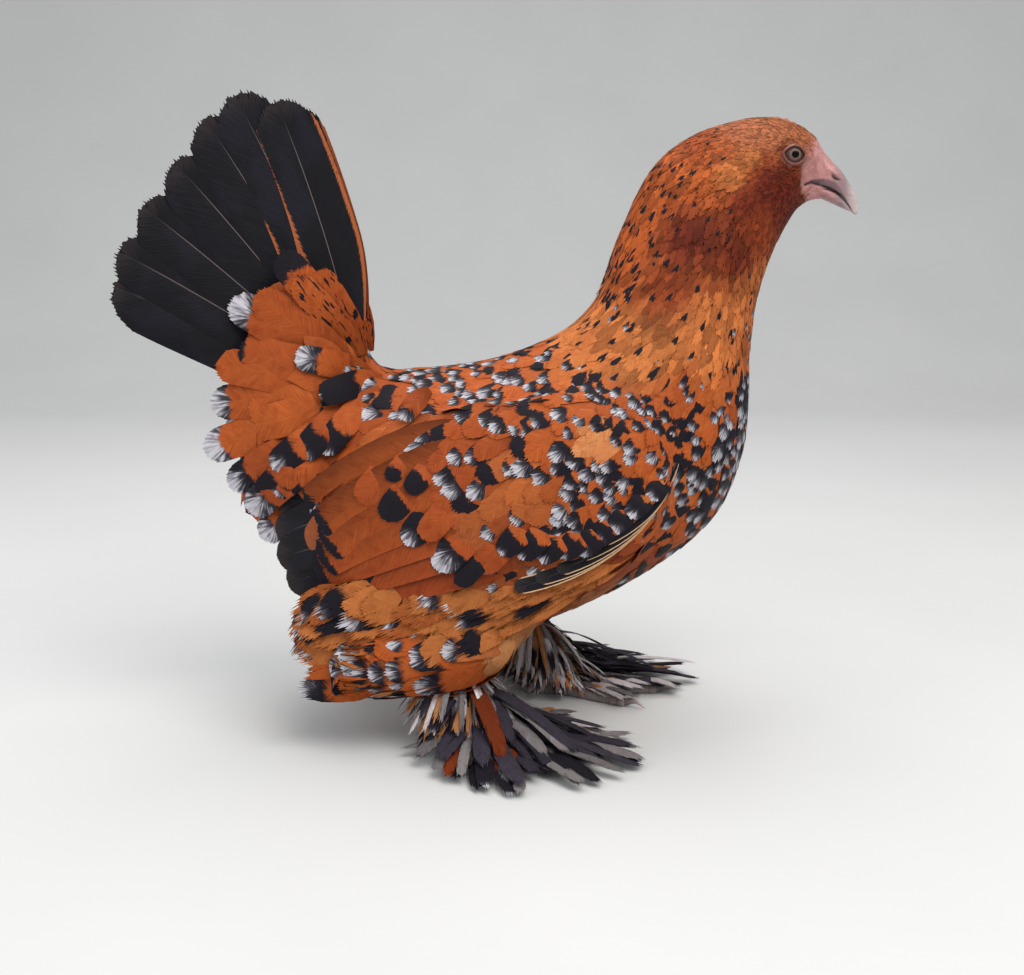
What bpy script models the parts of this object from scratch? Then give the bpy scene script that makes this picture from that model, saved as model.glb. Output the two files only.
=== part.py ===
"""A booted bantam pullet standing at rest, life size, as a still museum model.

The head points to +X, the bird's left is +Y and up is +Z. The origin is on the floor under the middle of
the bird's bounding box. Sizes are in millimetres here and become metres as the meshes are made. The head,
neck and trunk are one lofted body, parted by thin flat cuts. Each of its rings is given by a point on the
bird's upper outline, a point on its lower outline and half its width between them.
"""

import math

import bmesh
import bpy
import numpy as np

MM = 0.001
GAP = 0.35  # clearance between neighbouring pieces
SMOOTH_ANGLE = math.radians(50)
MIDDLE_X = 5.55  # where the middle of the bounding box lies in the tables below

# One row for each place along the bird, from the rump to the face:
# upper outline x, z; lower outline x, z; half width.
BODY = np.array(
    [
        (-70, 128, -80, 88, 17),  # rump
        (-58, 139, -74, 64, 32),
        (-42, 146, -60, 50, 41),
        (-20, 148, -33, 42, 46),
        (0, 150.5, -4, 39, 48),
        (16, 155, 25, 42.5, 48.5),
        (29, 161, 52, 54, 47),
        (38, 167, 77, 69, 44),
        (44, 174.5, 97, 88, 39.5),  # shoulders
        (47.8, 184.3, 106.5, 114, 34),
        (51.5, 195.5, 107.8, 138, 29),
        (56.5, 207.5, 108, 160, 25.5),
        (62, 219.5, 110.5, 177, 23),
        (70.5, 230.5, 114.5, 190, 21),
        (83.5, 238.7, 119, 200, 19),  # nape
        (98, 243, 122, 205.5, 17.2),
        (109, 244.8, 123.5, 208.5, 15.6),
        (119, 242.5, 124.5, 210.3, 13),
        (127, 237, 125.2, 211.5, 9.6),
        (131.3, 231, 126, 212.2, 6.4),  # where the bill starts
    ]
)
NECK_BASE = 9.0  # rows of BODY at which the body is parted
HEAD_BASE = 14.0
BODY_SIDES = 20

# The cushion of feathers over the root of the tail, in the same five sizes.
COVERTS = np.array(
    [
        (-41, 140, -76, 74, 30),
        (-44, 153, -92, 83, 33),
        (-50, 170, -106, 99, 30),
        (-60, 184, -113, 120, 25),
        (-72, 193, -112, 140, 18),
        (-84, 194, -104, 160, 9),
    ]
)

# Half of the main tail: feathers side by side on a half fan that leans out from the ridge over the back.
TAIL_ROOT = (-43.0, 136.0)  # x, z of the point that all the feathers spread from
TAIL_RIDGE = math.radians(12)  # the ridge's lean back from upright
TAIL_LEAN = math.radians(24)  # the half fan's lean out from the bird's middle plane
# Each feather's turn down the fan from the ridge in degrees, and its length, from the ridge outwards.
TAIL_TURNS = (6, 12.5, 19, 28, 38, 47.5, 54)
TAIL_LENGTHS = (117, 124, 121, 115, 112, 110, 106)
TAIL_START = 34.0  # the quills are hidden from the root to here
TAIL_WIDTH = 31.0
TAIL_THICK = 0.9
TAIL_PITCH = 1.35  # from one feather's plane to the next
TAIL_MIDDLE = 7.5  # from the bird's middle plane to the ridge feather's shaft
TAIL_FLARE = 5.0  # how far the tips curve outwards
TAIL_BOW = 2.0  # how far the ridge feather bows forwards

# The folded wing: each row is upper edge x, z; lower edge x, z; how far its face stands from the middle.
WING = np.array(
    [
        (71, 120, 73, 108, 40),
        (64, 130, 69, 90, 45),
        (51, 138, 61, 75, 49),
        (32, 142, 47, 65, 52),
        (8, 141, 22, 60, 53),
        (-18, 137, -10, 58, 52),
        (-40, 127, -38, 57, 47),
        (-57, 110, -60, 56, 39),
        (-71, 90, -75, 56, 33),
        (-82, 72, -85, 59, 28),
    ]
)
WING_THICK = 9.0
WING_EDGE = 1.2
WING_LEAST = 4.0  # its thickness where it is pressed flat on the body
WING_TUCK = 14.0  # how far its upper and lower edges turn in

# Legs: the bird's left foot stands ahead of its right.
LEG_SPREAD = 27.0
LEFT_AHEAD = 30.0
HIP = (14.0, 66.0)
HOCK = (-9.0, 31.0)
ANKLE = (5.0, 7.5)
THIGH_RADII = (17.0, 18.0, 14.0, 8.0)
SHANK_RADIUS = 3.6
FLOOR_FLAT = 0.5  # how much of each toe's underside is flattened
# Toes: turn from straight ahead (outwards is positive), length, root radius, tip radius.
TOES = {
    "inner": (-32, 31, 3.3, 2.0),
    "middle": (2, 42, 3.6, 2.1),
    "outer": (36, 33, 3.3, 1.9),
    "hind": (172, 18, 2.8, 1.9),
}
CLAW_LENGTH = 9.0

# Foot feathers: a scalloped fan on the outer side of each foot, between two turns from straight ahead.
BOOT_FIRST, BOOT_LAST = 18.0, 150.0
BOOT_REACH = 62.0
BOOT_VANES = 6
BOOT_STEPS = 30
# The fan's section from its top, out to the rim and back under it: share of the reach, height.
BOOT_SECTION = ((0.02, 30), (0.25, 27), (0.6, 19), (1, 12), (1, 10.5), (0.55, 3), (0.02, 0.8))

EYE_CENTRE = (118.8, 10.7, 228.6)
EYE_RADIUS = 4.7


def clear_scene():
    for obj in list(bpy.data.objects):
        bpy.data.objects.remove(obj, do_unlink=True)


def material(name, colour, roughness=0.7):
    made = bpy.data.materials.new(name)
    made.use_nodes = True
    shader = made.node_tree.nodes["Principled BSDF"]
    shader.inputs["Base Color"].default_value = (*colour, 1)
    shader.inputs["Roughness"].default_value = roughness
    made.diffuse_color = (*colour, 1)
    return made


def between(rows, at):
    """The rows' values at a fractional row number, on a smooth curve through all of them."""
    last = len(rows) - 1
    i = min(int(at), last - 1)
    f = at - i
    before, start, end, after = (rows[min(max(i + k, 0), last)] for k in (-1, 0, 1, 2))
    return 0.5 * (
        2 * start
        + (end - before) * f
        + (2 * before - 5 * start + 4 * end - after) * f**2
        + (3 * start - before - 3 * end + after) * f**3
    )


def metres(point):
    """A point of the tables above in metres from the origin."""
    return (MM * (point[0] - MIDDLE_X), MM * point[1], MM * point[2])


def object_from(name, points, faces, mat):
    """A closed mesh object from points in millimetres, its faces turned outwards."""
    mesh = bpy.data.meshes.new(name)
    mesh.from_pydata([metres(p) for p in points], [], faces)
    whole = bmesh.new()
    whole.from_mesh(mesh)
    bmesh.ops.recalc_face_normals(whole, faces=whole.faces)
    whole.to_mesh(mesh)
    whole.free()
    mesh.shade_smooth()
    mesh.set_sharp_from_angle(angle=SMOOTH_ANGLE)
    if mat:
        mesh.materials.append(mat)
    obj = bpy.data.objects.new(name, mesh)
    bpy.context.scene.collection.objects.link(obj)
    return obj


def loft(name, rings, mat):
    """A closed solid through rings of equally many points, with flat ends."""
    count, sides = len(rings), len(rings[0])
    points = [p for ring in rings for p in ring]
    faces = []
    for i in range(count - 1):
        for j in range(sides):
            k = (j + 1) % sides
            faces.append((i * sides + j, i * sides + k, (i + 1) * sides + k, (i + 1) * sides + j))
    faces.append(tuple(range(sides - 1, -1, -1)))
    faces.append(tuple((count - 1) * sides + j for j in range(sides)))
    return object_from(name, points, faces, mat)


def upright_ring(row, sides, grow=0.0, shift=0.0):
    """A ring in the plane of one row's upper and lower points, moved along the bird by shift."""
    upper, lower = np.array([row[0], 0, row[1]]), np.array([row[2], 0, row[3]])
    tall = upper - lower
    half = np.linalg.norm(tall) / 2
    up = tall / (2 * half)
    forward = np.array([up[2], 0, -up[0]])
    middle = (upper + lower) / 2 + forward * shift
    ring = []
    for j in range(sides):
        a = 2 * math.pi * j / sides
        ring.append(middle + up * (half + grow) * math.cos(a) + np.array([0, (row[4] + grow) * math.sin(a), 0]))
    return ring


def rings_between(rows, first, last, step, grow=0.0, trim=GAP / 2, sides=BODY_SIDES):
    """Rings from one row number to another, with the two end rings moved inwards by trim."""
    count = max(2, round((last - first) / step) + 1)
    rings = []
    for i in range(count):
        shift = trim if i == 0 else -trim if i == count - 1 else 0.0
        row = between(rows, first + (last - first) * i / (count - 1))
        rings.append(upright_ring(row, sides, grow, shift))
    return rings


def cutter(obj):
    obj.hide_render = True
    obj.display_type = "WIRE"
    return obj


def boolean(obj, other, operation="DIFFERENCE"):
    modifier = obj.modifiers.new(other.name, "BOOLEAN")
    modifier.operation = operation
    modifier.solver = "EXACT"
    modifier.object = other
    return obj


def body_cutters():
    """The trunk and the head a gap larger all round, for cutting what lies against them."""
    trunk = loft("trunk_cutter", rings_between(BODY, 0, NECK_BASE + 0.6, 0.5, GAP, -GAP), None)
    head = loft("head_cutter", rings_between(BODY, HEAD_BASE, len(BODY) - 1, 0.5, GAP, -GAP), None)
    return cutter(trunk), cutter(head)


def tube(name, path, radii, mat, sides=10, flatten=1.0):
    """A solid along a path in millimetres, round or flattened from above, with flat ends."""
    path = [np.array(p, float) for p in path]
    rings = []
    for i, p in enumerate(path):
        ahead = path[min(i + 1, len(path) - 1)] - path[max(i - 1, 0)]
        ahead /= np.linalg.norm(ahead)
        guide = np.array([0, 0, 1.0]) if abs(ahead[2]) < 0.9 else np.array([1.0, 0, 0])
        side = np.cross(guide, ahead)
        side /= np.linalg.norm(side)
        top = np.cross(ahead, side)
        ring = []
        for j in range(sides):
            a = 2 * math.pi * j / sides
            ring.append(p + radii[i] * (side * math.cos(a) + top * flatten * math.sin(a)))
        rings.append(ring)
    return loft(name, rings, mat)


def ball(name, centre, radius, mat, segments=14, rings=8):
    """A sphere with its poles to the bird's sides."""
    points = [(centre[0], centre[1] - radius, centre[2])]
    faces = []
    for i in range(1, rings):
        a = math.pi * i / rings
        for j in range(segments):
            b = 2 * math.pi * j / segments
            points.append(
                (
                    centre[0] + radius * math.sin(a) * math.cos(b),
                    centre[1] - radius * math.cos(a),
                    centre[2] + radius * math.sin(a) * math.sin(b),
                )
            )
    points.append((centre[0], centre[1] + radius, centre[2]))
    end = len(points) - 1
    for j in range(segments):
        k = (j + 1) % segments
        faces.append((0, 1 + j, 1 + k))
        faces.append((end, end - segments + k, end - segments + j))
        for i in range(rings - 2):
            low = 1 + i * segments
            faces.append((low + j, low + segments + j, low + segments + k, low + k))
    return object_from(name, points, faces, mat)


def make_body(mats):
    loft("trunk", rings_between(BODY, 0, NECK_BASE, 0.5), mats["plumage"])
    loft("neck", rings_between(BODY, NECK_BASE, HEAD_BASE, 0.5), mats["plumage"])
    head = loft("head", rings_between(BODY, HEAD_BASE, len(BODY) - 1, 0.4), mats["plumage"])
    for side, name in ((-1, "right"), (1, "left")):
        centre = (EYE_CENTRE[0], side * EYE_CENTRE[1], EYE_CENTRE[2])
        socket = ball(f"socket_{name}_cutter", centre, EYE_RADIUS + GAP, None)
        boolean(head, cutter(socket))
        ball(f"eye_{name}", centre, EYE_RADIUS, mats["eye"])


def make_bill(mats):
    """Both halves of the bill. Rows are as in BODY, from the face to the tip."""
    upper = np.array(
        [
            (132.2, 230.2, 128.7, 219.3, 5.6),
            (136, 226.2, 132.5, 219.0, 5.2),
            (140, 222.8, 136.6, 217.2, 4.3),
            (143.8, 218.5, 140.5, 214.5, 3.2),
            (146.3, 213.3, 144.0, 211.0, 2),
            (147.1, 208.3, 146.4, 207.6, 0.7),
        ]
    )
    lower = np.array(
        [
            (128.6, 218.7, 126.4, 213, 5),
            (132.4, 218.3, 131.6, 211.9, 4.6),
            (136, 216.5, 135.6, 211.2, 3.6),
            (138.4, 214.8, 138, 211.1, 2.4),
            (140, 213.2, 139.7, 211.6, 1),
        ]
    )
    for name, rows in (("bill_upper", upper), ("bill_lower", lower)):
        loft(name, rings_between(rows, 0, len(rows) - 1, 0.5, 0, 0, 12), mats["bill"])


def make_comb(mats, head_cutter):
    """A pullet's low comb: a thin ridge with small points along the forehead."""
    base_rear, base_front = np.array([112.0, 243.0]), np.array([130.0, 231.0])
    points_on_it, height, half_thick = 5, 2.0, 0.9
    along = base_front - base_rear
    out = np.array([-along[1], along[0]]) / np.linalg.norm(along)
    profile = []
    steps = 20
    for i in range(steps + 1):
        t = i / steps
        bow = 4.0 * math.sin(math.pi * t)
        rise = height * math.sin(math.pi * t) ** 0.5 * (0.7 + 0.3 * abs(math.sin(math.pi * points_on_it * t)))
        profile.append(base_rear + along * t + out * (bow + rise))
    profile += [base_front - out * 3, base_rear - out * 3]
    rings = [[(x, y, z) for x, z in profile] for y in (-half_thick, half_thick)]
    boolean(loft("comb", rings, mats["skin"]), head_cutter)


def make_coverts(mats, trunk_cutter):
    last = len(COVERTS) - 1
    cushion = loft("tail_coverts", rings_between(COVERTS, 0, last, 0.5, sides=16), mats["plumage"])
    boolean(cushion, trunk_cutter)
    return cutter(loft("coverts_cutter", rings_between(COVERTS, 0, last, 0.5, GAP, -GAP, 16), None))


def tail_frame(side):
    """The half fan's directions: along the ridge, down the fan and out of its face."""
    ridge = np.array([-math.sin(TAIL_RIDGE), 0, math.cos(TAIL_RIDGE)])
    back = np.array([-math.cos(TAIL_RIDGE), 0, -math.sin(TAIL_RIDGE)])
    down = back * math.cos(TAIL_LEAN) + np.array([0, side * math.sin(TAIL_LEAN), 0])
    face = np.cross(ridge, down) * side
    return ridge, down, face * (1 if face[1] * side > 0 else -1)


def tail_feather(name, side, index, mat):
    """One feather of the half fan: a thin blade with a rounded end, on its own level of the fan."""
    ridge, down, face = tail_frame(side)
    turn = math.radians(TAIL_TURNS[index])
    along = ridge * math.cos(turn) + down * math.sin(turn)
    across = -ridge * math.sin(turn) + down * math.cos(turn)
    root = np.array([TAIL_ROOT[0], side * TAIL_MIDDLE, TAIL_ROOT[1]]) - face * TAIL_PITCH * index
    length = TAIL_LENGTHS[index]
    bow = TAIL_BOW * (1 - 0.12 * index)
    steps = 10
    rings = []
    for i in range(steps + 1):
        s = math.sin(i / steps * math.pi / 2)
        r = TAIL_START + (length - TAIL_START) * s
        rounded = max(0.1, 1 - max(0.0, (s - 0.76) / 0.24) ** 2.6) ** 0.5
        half = TAIL_WIDTH / 2 * min(1.0, 0.4 + 1.3 * s) * rounded
        middle = root + along * r - across * 4 * bow * s * (1 - s)
        low = middle + face * TAIL_FLARE * (r / 120) ** 2
        high = low + face * TAIL_THICK
        rings.append([low - across * half, low + across * half, high + across * half, high - across * half])
    return loft(name, rings, mat)


def make_tail(mats, coverts_cutter, trunk_cutter):
    for side, name in ((-1, "right"), (1, "left")):
        for i in range(len(TAIL_TURNS)):
            blade = tail_feather(f"tail_{name}_{i + 1}", side, i, mats["tail"])
            boolean(blade, coverts_cutter)
            boolean(blade, trunk_cutter)


def outermost(cutters, x, z, side, around=4.5):
    """How far out from the bird's middle the cutters reach close to one place seen from its side."""
    reach = 0.0
    for right in (-around, 0, around):
        for up in (-around, 0, around):
            for obj in cutters:
                hit, place, _, _ = obj.ray_cast(metres((x + right, side * 200, z + up)), (0, -side, 0))
                if hit:
                    reach = max(reach, side * place[1] / MM + GAP)
    return reach


def make_wing(name, side, mats, cutters):
    """The folded wing as a curved slab whose inner face follows whatever lies under it."""
    across, step = 8, 0.5
    count = round((len(WING) - 1) / step) + 1
    rings = []
    for i in range(count):
        x1, z1, x2, z2, out = between(WING, i * step)
        ends = min(1.0, 0.25 + 0.3 * i, 0.25 + 0.15 * (count - 1 - i))
        outer, inner = [], []
        for j in range(across + 1):
            v = j / across
            x, z = x1 + (x2 - x1) * v, z1 + (z2 - z1) * v
            rim = math.sin(math.pi * v) ** 0.6
            thick = WING_EDGE + (WING_THICK - WING_EDGE) * ends * rim
            face = out - WING_TUCK * abs(2 * v - 1) ** 2.4
            under = max(outermost(cutters, x, z, side), face - thick)
            inner.append((x, side * under, z))
            outer.append((x, side * max(face, under + min(thick, WING_LEAST)), z))
        rings.append(outer + inner[::-1])
    wing = loft(name, rings, mats["plumage"])
    for other in cutters[2:]:
        boolean(wing, other)


def leg_points(side):
    """Hip, hock and ankle of one leg as points, the left one a little ahead."""
    ahead = LEFT_AHEAD if side > 0 else 0.0
    y = side * LEG_SPREAD
    hip = np.array([HIP[0] + ahead * 0.3, y * 0.95, HIP[1]])
    hock = np.array([HOCK[0] + ahead * 0.75, y, HOCK[1]])
    ankle = np.array([ANKLE[0] + ahead, y, ANKLE[1]])
    return hip, hock, ankle


def make_foot(name, ankle, side, mats):
    under = [(ankle[0], ankle[1], z) for z in (-30, 0)]
    floor = cutter(tube(f"floor_{name}_cutter", under, (90, 90), None, 8))
    foot = tube(
        f"foot_{name}",
        [ankle + np.array([0, 0, z]) for z in (-ankle[2] + 0.4, -3.0, 1.5)],
        (5.0, 5.4, 4.0),
        mats["scales"],
        12,
    )
    for toe, (turn, length, root, tip) in TOES.items():
        a = math.radians(turn) * side
        heading = np.array([math.cos(a), math.sin(a), 0])
        path, radii = [], []
        for i in range(5):
            t = i / 4
            radius = root + (tip - root) * t
            path.append(np.array([ankle[0], ankle[1], radius - FLOOR_FLAT]) + heading * length * t)
            radii.append(radius)
        piece = tube(f"toe_{toe}_{name}_shape", path, radii, None, 10)
        boolean(foot, cutter(piece), "UNION")
        if toe == "outer":
            reach = [*path[:-1], path[-1] + heading * (CLAW_LENGTH + 2 * GAP)]
            clear = cutter(tube(f"toe_{toe}_{name}_cutter", reach, [r + 2 * GAP for r in radii], None, 10))
        claw_path, claw_radii = [], []
        for i in range(5):
            t = i / 4
            lift = 0.6 + 1.6 * math.sin(math.pi * t) - 1.2 * t
            claw_path.append(path[-1] + heading * (2 * GAP + CLAW_LENGTH * t) + np.array([0, 0, lift]))
            claw_radii.append(tip * 0.75 * (1 - t) + 0.25)
        tube(f"claw_{toe}_{name}", claw_path, claw_radii, mats["bill"], 8)
    boolean(foot, floor)
    return clear


def hock_plume_rings(hock, side, grow=0.0):
    """The stiff bunch of feathers that points back from the hock."""
    rows = np.array(
        [
            (17, 50, 12, 35, 7),
            (4, 55, 0, 27, 11.5),
            (-20, 55, -24, 23, 13),
            (-44, 53, -48, 23, 12),
            (-62, 48, -66, 24, 9),
            (-74, 40, -76, 29, 3),
        ]
    )
    moved = rows + np.array([1, 0, 1, 0, 0]) * (hock[0] - HOCK[0])
    rings = rings_between(moved, 0, len(rows) - 1, 0.5, grow, -grow, 12)
    offset = side * (LEG_SPREAD + 11)
    return [[p + np.array([0, offset, 0]) for p in ring] for ring in rings]


def boot_outline(centre, side):
    """The rim of the foot feathers, from ahead of the toes round the outside to behind, scalloped by their tips."""
    rim = []
    for i in range(BOOT_STEPS + 1):
        t = i / BOOT_STEPS
        a = math.radians(BOOT_FIRST + (BOOT_LAST - BOOT_FIRST) * t) * side
        scallop = 0.84 + 0.16 * abs(math.sin(math.pi * BOOT_VANES * t))
        reach = BOOT_REACH * (1 - 0.35 * t) * scallop
        rim.append(centre + reach * np.array([math.cos(a), math.sin(a)]))
    return [*rim, centre]


def make_boot(name, ankle, side, mats, cutters):
    """Foot feathers as a low spreading cone with a scalloped rim, clear of the floor."""
    centre = ankle[:2] + np.array([3, side * 5])
    outline = boot_outline(centre, side)
    rings = []
    for share, high in BOOT_SECTION:
        row = [centre + (p - centre) * share for p in outline]
        rings.append([(x, y, high) for x, y in row])
    boot = loft(f"boot_{name}", rings, mats["plumage"])
    for other in cutters:
        boolean(boot, other)


def make_legs(mats, trunk_cutter):
    """Thigh, shank, foot, claws and the feathers of hock and foot on both sides. Returns what each wing clears."""
    wing_cutters = {}
    for side, name in ((-1, "right"), (1, "left")):
        hip, hock, ankle = leg_points(side)
        path = [hip + (hock - hip) * t for t in (0, 0.35, 0.7, 1.0)]
        thigh = tube(f"thigh_{name}", path, THIGH_RADII, mats["plumage"], 16)
        boolean(thigh, trunk_cutter)
        longer = path[:3] + [hock + (hock - hip) / 60]
        grown = cutter(tube(f"thigh_{name}_cutter", longer, [r + GAP for r in THIGH_RADII], None, 16))
        down = (ankle - hock) / np.linalg.norm(ankle - hock)
        start, end = hock + down * 3.0, ankle + np.array([-1.2, 0, 2.2])
        shank_path = [start + (end - start) * t for t in (0, 0.5, 1.0)]
        shank = tube(f"shank_{name}", shank_path, (SHANK_RADIUS + 0.8, SHANK_RADIUS, SHANK_RADIUS), mats["scales"], 12)
        boolean(shank, grown)
        toe_cutter = make_foot(name, ankle, side, mats)
        around = [ankle + np.array([0, 0, z]) for z in (-12, 2.2)]
        foot_cutter = cutter(tube(f"foot_{name}_cutter", around, (6.5, 6.5), None, 12))
        boolean(shank, foot_cutter)
        grown_shank = cutter(tube(f"shank_{name}_cutter", shank_path, [SHANK_RADIUS + 1.3] * 3, None, 12))
        plume = loft(f"hock_plume_{name}", hock_plume_rings(hock, side), mats["plumage"])
        for other in (trunk_cutter, grown, grown_shank):
            boolean(plume, other)
        grown_plume = cutter(loft(f"plume_{name}_cutter", hock_plume_rings(hock, side, GAP), None))
        wing_cutters[side] = (grown, grown_plume)
        make_boot(name, ankle, side, mats, (grown_shank, foot_cutter, toe_cutter, grown, grown_plume))
    return wing_cutters


def main():
    clear_scene()
    mats = {
        "plumage": material("plumage", (0.55, 0.2, 0.06)),
        "tail": material("tail", (0.02, 0.02, 0.025), 0.5),
        "skin": material("skin", (0.6, 0.25, 0.2)),
        "bill": material("bill", (0.6, 0.55, 0.55), 0.35),
        "eye": material("eye", (0.25, 0.1, 0.05), 0.1),
        "scales": material("scales", (0.45, 0.42, 0.45), 0.5),
    }
    trunk_cutter, head_cutter = body_cutters()
    make_body(mats)
    make_bill(mats)
    make_comb(mats, head_cutter)
    coverts_cutter = make_coverts(mats, trunk_cutter)
    make_tail(mats, coverts_cutter, trunk_cutter)
    leg_cutters = make_legs(mats, trunk_cutter)
    bpy.context.view_layer.update()
    for side, name in ((-1, "wing_right"), (1, "wing_left")):
        make_wing(name, side, mats, [coverts_cutter, trunk_cutter, *leg_cutters[side]])


main()
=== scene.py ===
"""Looks of the booted bantam pullet: one skin, a coat of mesh feathers, quills, face, bill, eyes and feet.

Lengths are in millimetres in the model's frame: +X to the head, +Y to the bird's left, +Z up.
"""
import math

import bmesh
import bpy
import numpy as np
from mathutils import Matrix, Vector
from mathutils.bvhtree import BVHTree


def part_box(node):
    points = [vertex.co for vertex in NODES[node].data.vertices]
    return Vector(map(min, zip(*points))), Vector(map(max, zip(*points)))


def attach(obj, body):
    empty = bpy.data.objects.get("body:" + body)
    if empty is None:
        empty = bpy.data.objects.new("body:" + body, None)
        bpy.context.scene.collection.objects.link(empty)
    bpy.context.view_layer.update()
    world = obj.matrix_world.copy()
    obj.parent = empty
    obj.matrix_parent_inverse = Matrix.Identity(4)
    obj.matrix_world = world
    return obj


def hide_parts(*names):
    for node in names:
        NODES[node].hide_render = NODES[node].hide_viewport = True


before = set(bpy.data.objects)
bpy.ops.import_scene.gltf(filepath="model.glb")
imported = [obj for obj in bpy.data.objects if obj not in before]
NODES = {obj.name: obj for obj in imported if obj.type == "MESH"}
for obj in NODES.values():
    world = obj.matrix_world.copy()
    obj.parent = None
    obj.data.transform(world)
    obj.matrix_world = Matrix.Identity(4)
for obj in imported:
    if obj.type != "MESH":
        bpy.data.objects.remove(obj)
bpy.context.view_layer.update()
MM = 0.001
SIDES = ((-1, "right"), (1, "left"))

# ---------------------------------------------------------------- colours (linear)
GROUND = {
    "crown": (0.32, 0.100, 0.040),
    "gold": (0.50, 0.150, 0.040),
    "orange": (0.37, 0.078, 0.016),
    "ember": (0.28, 0.054, 0.012),
    "deep": (0.21, 0.037, 0.009),
    "rust": (0.115, 0.016, 0.007),
    "buff": (0.36, 0.150, 0.055),
    "tan": (0.38, 0.120, 0.032),
    "sand": (0.31, 0.082, 0.020),
    "grey": (0.30, 0.27, 0.27),
    "black": (0.012, 0.010, 0.014),
}
GROUND = {name: np.array(value) for name, value in GROUND.items()}
GOLD_PATCH = np.array([0.52, 0.20, 0.07])  # the plain spot on the shoulder
FACE = {
    "bare": (0.47, 0.245, 0.24),
    "blotch": (0.30, 0.13, 0.10),
    "lids": (0.30, 0.125, 0.09),
    # painted shade round the eye: at the lids' edge under the upper lid, and in the lid's folds
    "fold": (0.04, 0.010, 0.009),
    "lores": (0.34, 0.15, 0.14),
    "ridge": (0.25, 0.085, 0.06),
}
FACE = {name: np.array(value) for name, value in FACE.items()}

# How the coat lies and looks at places seen from the side, blended between them: x, z, the feathers' lie in
# degrees up from straight ahead, their length and width, the share with a black spot, the share of those
# with a white tip, and their ground colour.
COAT = [
    (122, 237, 150, 3.0, 1.2, 0, 0, "crown"),
    (112, 243, 172, 4.2, 1.6, 0, 0, "crown"),
    (98, 243, 192, 6.0, 2.1, 0, 0, "crown"),
    (84, 237, 212, 9, 3.0, 0.12, 0, "ember"),
    (109, 236, 184, 3.6, 1.5, 0, 0, "crown"),
    (99, 234, 192, 4.5, 1.8, 0, 0, "crown"),
    (103, 225, 200, 3.8, 1.5, 0, 0, "deep"),
    (112, 219, 195, 3.0, 1.2, 0, 0, "rust"),
    (94, 227, 200, 5.0, 2.0, 0, 0, "orange"),
    (98, 214, 222, 7.0, 2.3, 0, 0, "rust"),
    (113, 210, 212, 4.0, 1.6, 0, 0, "rust"),
    (105, 202, 240, 8.0, 2.5, 0, 0, "deep"),
    (87, 221, 222, 9, 3.0, 0.05, 0, "orange"),
    (71, 226, 228, 12, 3.6, 0.35, 0, "orange"),
    (58, 212, 238, 15, 3.9, 0.40, 0, "orange"),
    (52, 194, 240, 17, 4.2, 0.45, 0, "orange"),
    (78, 205, 240, 14, 3.8, 0.10, 0, "rust"),
    (94, 196, 250, 12, 3.3, 0.05, 0, "rust"),
    (105, 186, 262, 11, 3.4, 0.05, 0, "gold"),
    (70, 188, 240, 17, 4.3, 0.18, 0, "deep"),
    (88, 178, 248, 15, 4.2, 0.10, 0, "gold"),
    (104, 168, 264, 12, 4.6, 0.6, 0.5, "orange"),
    (48, 178, 232, 19, 4.8, 0.45, 0.05, "gold"),
    (66, 170, 232, 20, 4.8, 0.25, 0.05, "tan"),
    (85, 163, 240, 18, 4.8, 0.12, 0.1, "gold"),
    (42, 166, 215, 19, 5.4, 0.25, 0.1, "gold"),
    (60, 157, 222, 20, 5.2, 0.08, 0.1, "tan"),
    (78, 150, 236, 17, 5.4, 0.40, 0.4, "orange"),
    (102, 146, 262, 14, 7.2, 1.0, 0.95, "orange"),
    (91, 129, 250, 15, 7.4, 0.95, 0.9, "orange"),
    (102, 118, 252, 15, 7.6, 1.0, 0.95, "orange"),
    (79, 118, 240, 15, 6.8, 0.80, 0.7, "orange"),
    (92, 97, 236, 16, 8.0, 0.96, 0.9, "orange"),
    (72, 96, 225, 18, 8.6, 0.40, 0.5, "orange"),
    (77, 76, 215, 17, 8.2, 0.65, 0.6, "deep"),
    (56, 84, 215, 22, 10.5, 0.06, 0.3, "deep"),
    (40, 68, 200, 22, 10, 0.08, 0.5, "deep"),
    (50, 58, 198, 20, 8, 0.10, 0.5, "buff"),
    (20, 46, 188, 20, 7, 0, 0, "buff"),
    (-30, 46, 182, 20, 7, 0, 0, "buff"),
    (-65, 66, 180, 20, 8, 0.3, 0.5, "buff"),
    (24, 158, 205, 16, 7.6, 0.70, 0.7, "orange"),
    (5, 150, 196, 17, 8, 0.85, 0.85, "orange"),
    (-20, 146, 188, 17, 8, 0.88, 0.85, "orange"),
    (-42, 146, 182, 16, 7.5, 0.85, 0.8, "orange"),
    (30, 146, 212, 17, 8, 0.75, 0.75, "orange"),
    (0, 138, 206, 18, 8.5, 0.75, 0.8, "orange"),
    (-28, 134, 202, 20, 9.5, 0.45, 0.6, "ember"),
    (62, 138, 225, 14, 6.8, 0.92, 0.75, "orange"),
    (46, 144, 220, 15, 7, 0.90, 0.75, "orange"),
    (66, 120, 228, 15, 7, 0.92, 0.95, "orange"),
    (50, 116, 226, 16, 7.6, 0.90, 0.9, "orange"),
    (30, 128, 216, 18, 9, 0.65, 0.9, "orange"),
    (34, 108, 224, 18, 9, 0.65, 0.9, "orange"),
    (8, 120, 214, 19, 9.2, 0.60, 0.9, "ember"),
    (12, 100, 222, 20, 10, 0.50, 0.8, "deep"),
    (-12, 112, 214, 20, 10, 0.50, 0.8, "ember"),
    (-25, 121, 210, 22, 11, 0.15, 0.6, "ember"),
    (-45, 106, 210, 24, 12, 0, 0, "ember"),
    (-64, 118, 190, 20, 10, 0.6, 0.6, "orange"),
    (-72, 95, 188, 20, 10, 0.85, 0.8, "orange"),
]
COAT_AT = np.array([row[:2] for row in COAT], float)
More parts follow.
